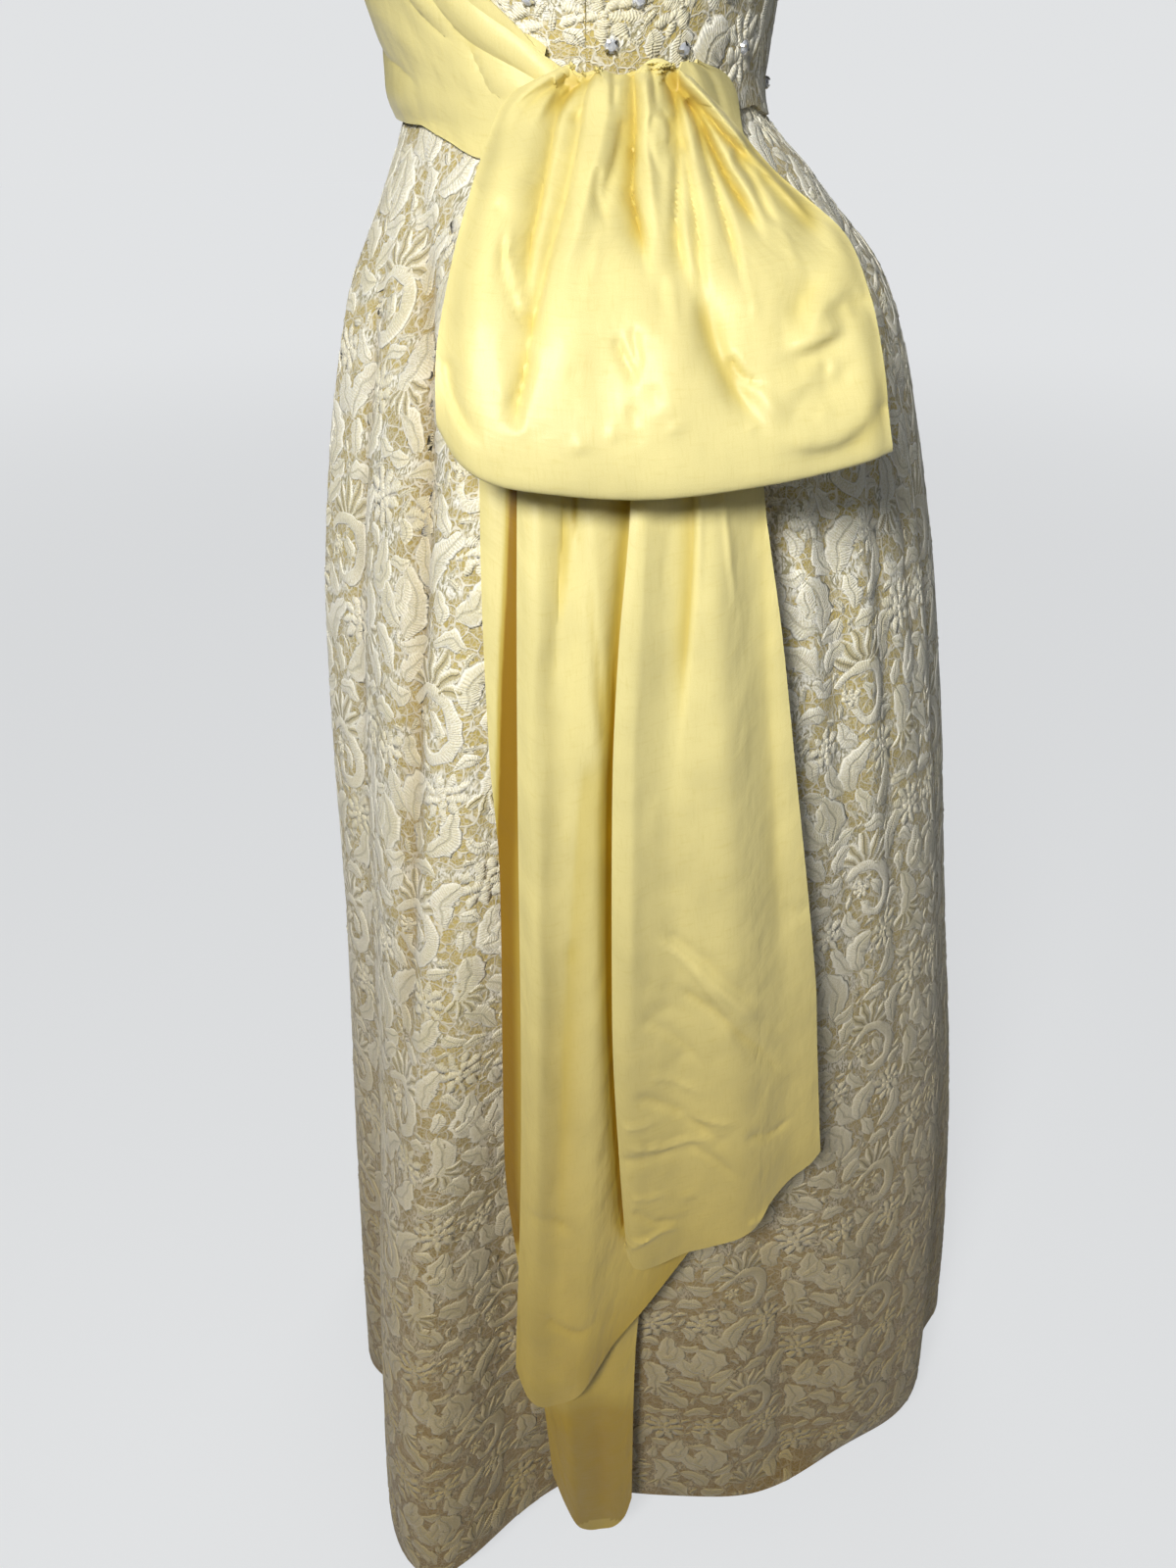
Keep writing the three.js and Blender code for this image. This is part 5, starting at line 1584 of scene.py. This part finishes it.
def setting_tree(template, material):
    """Geometry Nodes: one copy of a small piece on each point, turned to the cloth's normal."""
    tree = bpy.data.node_groups.new("set_on_points", "GeometryNodeTree")
    tree.interface.new_socket("Geometry", in_out="INPUT", socket_type="NodeSocketGeometry")
    size = tree.interface.new_socket("Size", in_out="INPUT", socket_type="NodeSocketFloat")
    size.default_value = bpy.context.scene.gown.stone_size
    tree.interface.new_socket("Geometry", in_out="OUTPUT", socket_type="NodeSocketGeometry")
    new, link = tree.nodes.new, tree.links.new
    start, end = new("NodeGroupInput"), new("NodeGroupOutput")
    piece = new("GeometryNodeObjectInfo")
    piece.inputs["Object"].default_value = template
    normal = new("GeometryNodeInputNamedAttribute")
    normal.data_type = "FLOAT_VECTOR"
    normal.inputs["Name"].default_value = "facing"
    turn = new("FunctionNodeAlignRotationToVector")
    turn.axis = "Z"
    link(normal.outputs["Attribute"], turn.inputs["Vector"])
    copies = new("GeometryNodeInstanceOnPoints")
    link(start.outputs["Geometry"], copies.inputs["Points"])
    link(piece.outputs["Geometry"], copies.inputs["Instance"])
    link(turn.outputs["Rotation"], copies.inputs["Rotation"])
    link(start.outputs["Size"], copies.inputs["Scale"])
    real, coat = new("GeometryNodeRealizeInstances"), new("GeometryNodeSetMaterial")
    coat.inputs["Material"].default_value = material
    link(copies.outputs["Instances"], real.inputs["Geometry"])
    link(real.outputs["Geometry"], coat.inputs["Geometry"])
    link(coat.outputs["Geometry"], end.inputs["Geometry"])
    return tree


def stone_places():
    """Places for the stones: some given one by one beside the bow, the rest in offset rows all round."""
    spots, facings = [], []
    spacing = bpy.context.scene.gown.stone_spacing / MM
    for side in PANELS:
        cloth = bodice_cloth(side, *STONE_GRID)
        angles = np.degrees(np.arctan2(-cloth.points[..., 1], -cloth.points[..., 0])) % 360
        for angle, height in BOW_STONES:
            if PANELS[side][0] < angle < PANELS[side][1]:
                off = np.abs(angles - angle) + np.abs(cloth.points[..., 2] - WAIST - height)
                row, column = np.unravel_index(off.argmin(), off.shape)
                add_stone(cloth, cloth.across[row, column], cloth.up[row], spots, facings)
        rows = int(cloth.up[-1] // (spacing * STONE_ROW_RATIO)) + 1
        for row in range(rows):
            up = FIRST_STONE_ROW + row * spacing * STONE_ROW_RATIO
            left, right = cloth.edges(up)
            offset = spacing / 2 if row % 2 else 0
            for across in np.arange(-HALF_PANEL + offset, HALF_PANEL, spacing):
                inside = left + STONE_SIDE_MARGIN < across < right - STONE_SIDE_MARGIN
                if inside and up < cloth.up[-1] - STONE_TOP_MARGIN:
                    add_stone(cloth, across, up, spots, facings, spacing * STONE_CLEARANCE)
    return np.array(spots), np.array(facings)


def add_stone(cloth, across, up, spots, facings, clear=0.0):
    """Adds a stone's place and facing, if it is clear of the sash and of the stones before it."""
    off = LAY + BODICE + np.array([[STONE_SEAT], [STONE_SEAT + FACING_RUN]])
    low, high = (cloth.at(np.array([across]), np.array([up]), height)[0][0] for height in off)
    near = spots and np.linalg.norm(np.array(spots) - low, axis=1).min() < clear
    if not under_sash(low) and not near:
        spots.append(low)
        facings.append((high - low) / FACING_RUN)


def under_sash(place):
    """Whether a place is on the bodice where the sash or its upper edge lies."""
    angle = math.degrees(math.atan2(-place[1], -place[0]))
    if not SASH_EDGES["angle"][0] < angle < SASH_EDGES["angle"][-1]:
        return False
    return place[2] < read(SASH_EDGES, np.array(angle), "high") + STONE_SASH_MARGIN


def make_stones():
    """Stones in claw settings over the bodice's lace."""
    spots, facings = stone_places()
    for name, template, material in (("bodice_stones", cut_stone(), stone_finish()),
                                     ("bodice_claws", claws(), metal_finish())):
        mesh = bpy.data.meshes.new(name)
        mesh.from_pydata([tuple(p * MM) for p in spots], [], [])
        facing = mesh.attributes.new("facing", "FLOAT_VECTOR", "POINT")
        facing.data.foreach_set("vector", facings.astype(np.float32).ravel())
        carrier = bpy.data.objects.new(name + "_points", mesh)
        bpy.context.scene.collection.objects.link(carrier)
        tree = setting_tree(template, material)
        nodes = carrier.modifiers.new("settings", "NODES")
        nodes.node_group = tree
        nodes[socket_id(tree, "Size")] = bpy.context.scene.gown.stone_size
        graph = bpy.context.evaluated_depsgraph_get()
        made = bpy.data.meshes.new_from_object(carrier.evaluated_get(graph))
        made.name = name
        bpy.data.objects.remove(carrier)
        bpy.data.objects.remove(template)
        piece = bpy.data.objects.new(name, made)
        bpy.context.scene.collection.objects.link(piece)
        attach(piece, "root")


# ---- Stage ----

# The stage is in metres, watts and degrees.
CAMERA_PLACE = (0.001, -0.739, -0.411)
CAMERA_TILT = 30.0  # degrees down from level
CAMERA_LENS = 26.0
HEM_OVER_FLOOR = 0.045
FLOOR = HEM * MM - HEM_OVER_FLOOR
FLOOR_REACH = 40
WALL_RADIUS, WALL_TOP, WALL_SIDES = 30, 25, 32
PALE = (0.74, 0.752, 0.764, 1.0)  # light that the surroundings give to the camera
FLOOR_GLOW = (0.62, 0.63, 0.64, 1)  # light of the floor near the gown
GLOW_FROM, GLOW_TO = 1.2, 7.0  # distances between which the floor fades into the surroundings
AMBIENT, AMBIENT_STRENGTH = (0.9, 0.95, 1.0, 1), 0.06
# Lamps: name, place, what it is aimed at, width, power, colour.
LAMPS = (
    ("key", (-0.36, -1.22, 0.07), (0.02, -0.1, -0.6), 0.34, 20, (1.0, 0.99, 0.96)),
    ("fill", (1.3, -1.5, 0.2), (0, 0, -0.8), 1.4, 3.4, (0.95, 0.97, 1.0)),
    ("back", (0.2, 1.8, 0.9), (0, 0, -0.6), 1.6, 12, (1, 1, 1)),
)


def area_light(name, place, aim, size, power, colour):
    """A round soft light."""
    light = bpy.data.lights.new(name, "AREA")
    light.shape, light.size, light.energy, light.color = "DISK", size, power, colour
    lamp = bpy.data.objects.new(name, light)
    lamp.location = place
    direction = np.array(aim, float) - np.array(place, float)
    yaw = math.atan2(-direction[0], direction[1])
    lamp.rotation_euler = (math.atan2(math.hypot(direction[0], direction[1]), -direction[2]), 0, yaw)
    bpy.context.scene.collection.objects.link(lamp)


def studio_surface(name, points, faces, material):
    """A part of the stage: it isn't part of the gown."""
    mesh = bpy.data.meshes.new(name)
    mesh.from_pydata(points, [], faces)
    mesh.materials.append(material)
    surface = bpy.data.objects.new(name, mesh)
    bpy.context.scene.collection.objects.link(surface)
    return surface


def make_stage():
    """Camera, soft lights, pale floor and pale surroundings."""
    scene = bpy.context.scene
    camera = bpy.data.objects.new("camera", bpy.data.cameras.new("camera"))
    camera.data.lens = CAMERA_LENS
    camera.location = CAMERA_PLACE
    camera.rotation_euler = (math.radians(90 - CAMERA_TILT), 0, 0)
    scene.collection.objects.link(camera)
    scene.camera = camera
    floor = Finish("pale floor", base_color=(0.2, 0.205, 0.21, 1), roughness=0.95, emission_strength=1.0)
    place = floor.add("ShaderNodeTexCoord").outputs["Object"]
    away = floor.add("ShaderNodeVectorMath", {0: place}, operation="LENGTH").outputs["Value"]
    glow = floor.mix(floor.ramp(away, GLOW_FROM, GLOW_TO), FLOOR_GLOW, PALE)
    floor.tree.links.new(glow, floor.shader.inputs["Emission Color"])
    corners = [(x * FLOOR_REACH, y * FLOOR_REACH, FLOOR) for x, y in ((-1, -1), (1, -1), (1, 1), (-1, 1))]
    ground = studio_surface("floor", corners, [(0, 1, 2, 3)], floor.material)
    ground.visible_diffuse = False
    far = Finish("pale surroundings", base_color=(0, 0, 0, 1), emission_color=PALE, emission_strength=1.0)
    ring = [(WALL_RADIUS * math.cos(a), WALL_RADIUS * math.sin(a))
            for a in np.linspace(0, 2 * math.pi, WALL_SIDES + 1)[:-1]]
    wall = [(x, y, FLOOR - 1) for x, y in ring] + [(x, y, WALL_TOP) for x, y in ring]
    sides = [(k, (k + 1) % WALL_SIDES, WALL_SIDES + (k + 1) % WALL_SIDES, WALL_SIDES + k)
             for k in range(WALL_SIDES)]
    roof = tuple(range(WALL_SIDES, 2 * WALL_SIDES))
    backdrop = studio_surface("surroundings", wall, [*sides, roof], far.material)
    backdrop.visible_diffuse = backdrop.visible_glossy = backdrop.visible_shadow = False
    world = bpy.data.worlds.new("studio")
    world.use_nodes = True
    world.node_tree.nodes["Background"].inputs[0].default_value = AMBIENT
    world.node_tree.nodes["Background"].inputs[1].default_value = AMBIENT_STRENGTH
    scene.world = world
    for lamp in LAMPS:
        area_light(*lamp)
    scene.view_settings.view_transform = "Standard"


# ---- The add-on: what a user sets, and one operator for each group of pieces ----

class GownProperties(bpy.types.PropertyGroup):
    """Colours and sizes of the gown that a user would change."""

    lace_colour: bpy.props.FloatVectorProperty(
        name="Lace", description="Colour of the lace motifs",
        subtype="COLOR", size=4, min=0, max=1, default=tint("FAF7EA"))
    lace_shade: bpy.props.FloatVectorProperty(
        name="Lace shade", description="Colour of the lace where it is thin",
        subtype="COLOR", size=4, min=0, max=1, default=tint("D4C998"))
    ground_colour: bpy.props.FloatVectorProperty(
        name="Net ground", description="Colour of the satin that shows through the net",
        subtype="COLOR", size=4, min=0, max=1, default=tint("AE9B52"))
    satin_colour: bpy.props.FloatVectorProperty(
        name="Satin", description="Colour of the sash, bow and streamers",
        subtype="COLOR", size=4, min=0, max=1, default=tint("E6DA98"))
    # Satin shade colours the weave and is the painted shade in the satin's creases.
    satin_shade: bpy.props.FloatVectorProperty(
        name="Satin shade", description="Colour of the satin in its creases",
        subtype="COLOR", size=4, min=0, max=1, default=tint("C5B04A"))
    underskirt_colour: bpy.props.FloatVectorProperty(
        name="Underskirt", description="Colour of the satin under the lace",
        subtype="COLOR", size=4, min=0, max=1, default=tint("CDBE84"))
    lace_rise: bpy.props.FloatProperty(
        name="Lace rise", description="How far the cords of the lace stand off the net",
        unit="LENGTH", default=0.42 * MM, min=0.1 * MM, max=1.0 * MM)
    stone_size: bpy.props.FloatProperty(
        name="Stone size", description="Width of a stone in its setting",
        unit="LENGTH", default=6.4 * MM, min=3.0 * MM, max=9.0 * MM)
    stone_spacing: bpy.props.FloatProperty(
        name="Stone spacing", description="Distance from one stone to the next in a row",
        unit="LENGTH", default=46.0 * MM, min=20.0 * MM, max=90.0 * MM)


class GOWN_OT_underskirts(bpy.types.Operator):
    """Make the satin underskirt, a smooth wall inside the lace"""

    bl_idname = "gown.underskirts"
    bl_label = "Underskirt"

    def execute(self, context):
        make_underskirts()
        return {"FINISHED"}


class GOWN_OT_skirts(bpy.types.Operator):
    """Make the lace skirt's three panels, each net with its motifs"""

    bl_idname = "gown.skirts"
    bl_label = "Lace skirt"

    def execute(self, context):
        make_skirts()
        return {"FINISHED"}


class GOWN_OT_bodice(bpy.types.Operator):
    """Make the bodice's three panels, lace mounted on satin"""

    bl_idname = "gown.bodice"
    bl_label = "Lace bodice"

    def execute(self, context):
        make_bodice()
        return {"FINISHED"}


class GOWN_OT_sash(bpy.types.Operator):
    """Make the draped satin band under the bust"""

    bl_idname = "gown.sash"
    bl_label = "Sash"

    def execute(self, context):
        make_sash()
        return {"FINISHED"}


class GOWN_OT_streamers(bpy.types.Operator):
    """Make the three hanging ends, one on another"""

    bl_idname = "gown.streamers"
    bl_label = "Streamers"

    def execute(self, context):
        make_streamers()
        return {"FINISHED"}


class GOWN_OT_bow(bpy.types.Operator):
    """Make the bow's wide loop and the folded end beside it"""

    bl_idname = "gown.bow"
    bl_label = "Bow"

    def execute(self, context):
        make_bow()
        return {"FINISHED"}


class GOWN_OT_stones(bpy.types.Operator):
    """Set stones in claws over the bodice's lace"""

    bl_idname = "gown.stones"
    bl_label = "Stones"

    def execute(self, context):
        make_stones()
        return {"FINISHED"}


class GOWN_OT_stage(bpy.types.Operator):
    """Set up the camera, soft lights, pale floor and pale surroundings"""

    bl_idname = "gown.stage"
    bl_label = "Stage"

    def execute(self, context):
        make_stage()
        return {"FINISHED"}


OPERATORS = (
    GOWN_OT_underskirts, GOWN_OT_skirts, GOWN_OT_bodice, GOWN_OT_sash, GOWN_OT_streamers, GOWN_OT_bow,
    GOWN_OT_stones, GOWN_OT_stage,
)


class GOWN_PT_panel(bpy.types.Panel):
    """Lists the gown's settings and operators."""

    bl_idname = "GOWN_PT_panel"
    bl_label = "Lace gown"
    bl_space_type = "VIEW_3D"
    bl_region_type = "UI"
    bl_category = "Gown"

    def draw(self, context):
        for setting in GownProperties.__annotations__:
            self.layout.prop(context.scene.gown, setting)
        for step in OPERATORS:
            self.layout.operator(step.bl_idname)


CLASSES = (GownProperties, *OPERATORS, GOWN_PT_panel)


def register():
    for made in CLASSES:
        bpy.utils.register_class(made)
    bpy.types.Scene.gown = bpy.props.PointerProperty(type=GownProperties)


def unregister():
    del bpy.types.Scene.gown
    for made in reversed(CLASSES):
        bpy.utils.unregister_class(made)


def main():
    register()
    bpy.ops.gown.underskirts()
    bpy.ops.gown.skirts()
    bpy.ops.gown.bodice()
    bpy.ops.gown.sash()
    bpy.ops.gown.streamers()
    bpy.ops.gown.bow()
    bpy.ops.gown.stones()
    bpy.ops.gown.stage()


if __name__ == "__main__":
    main()
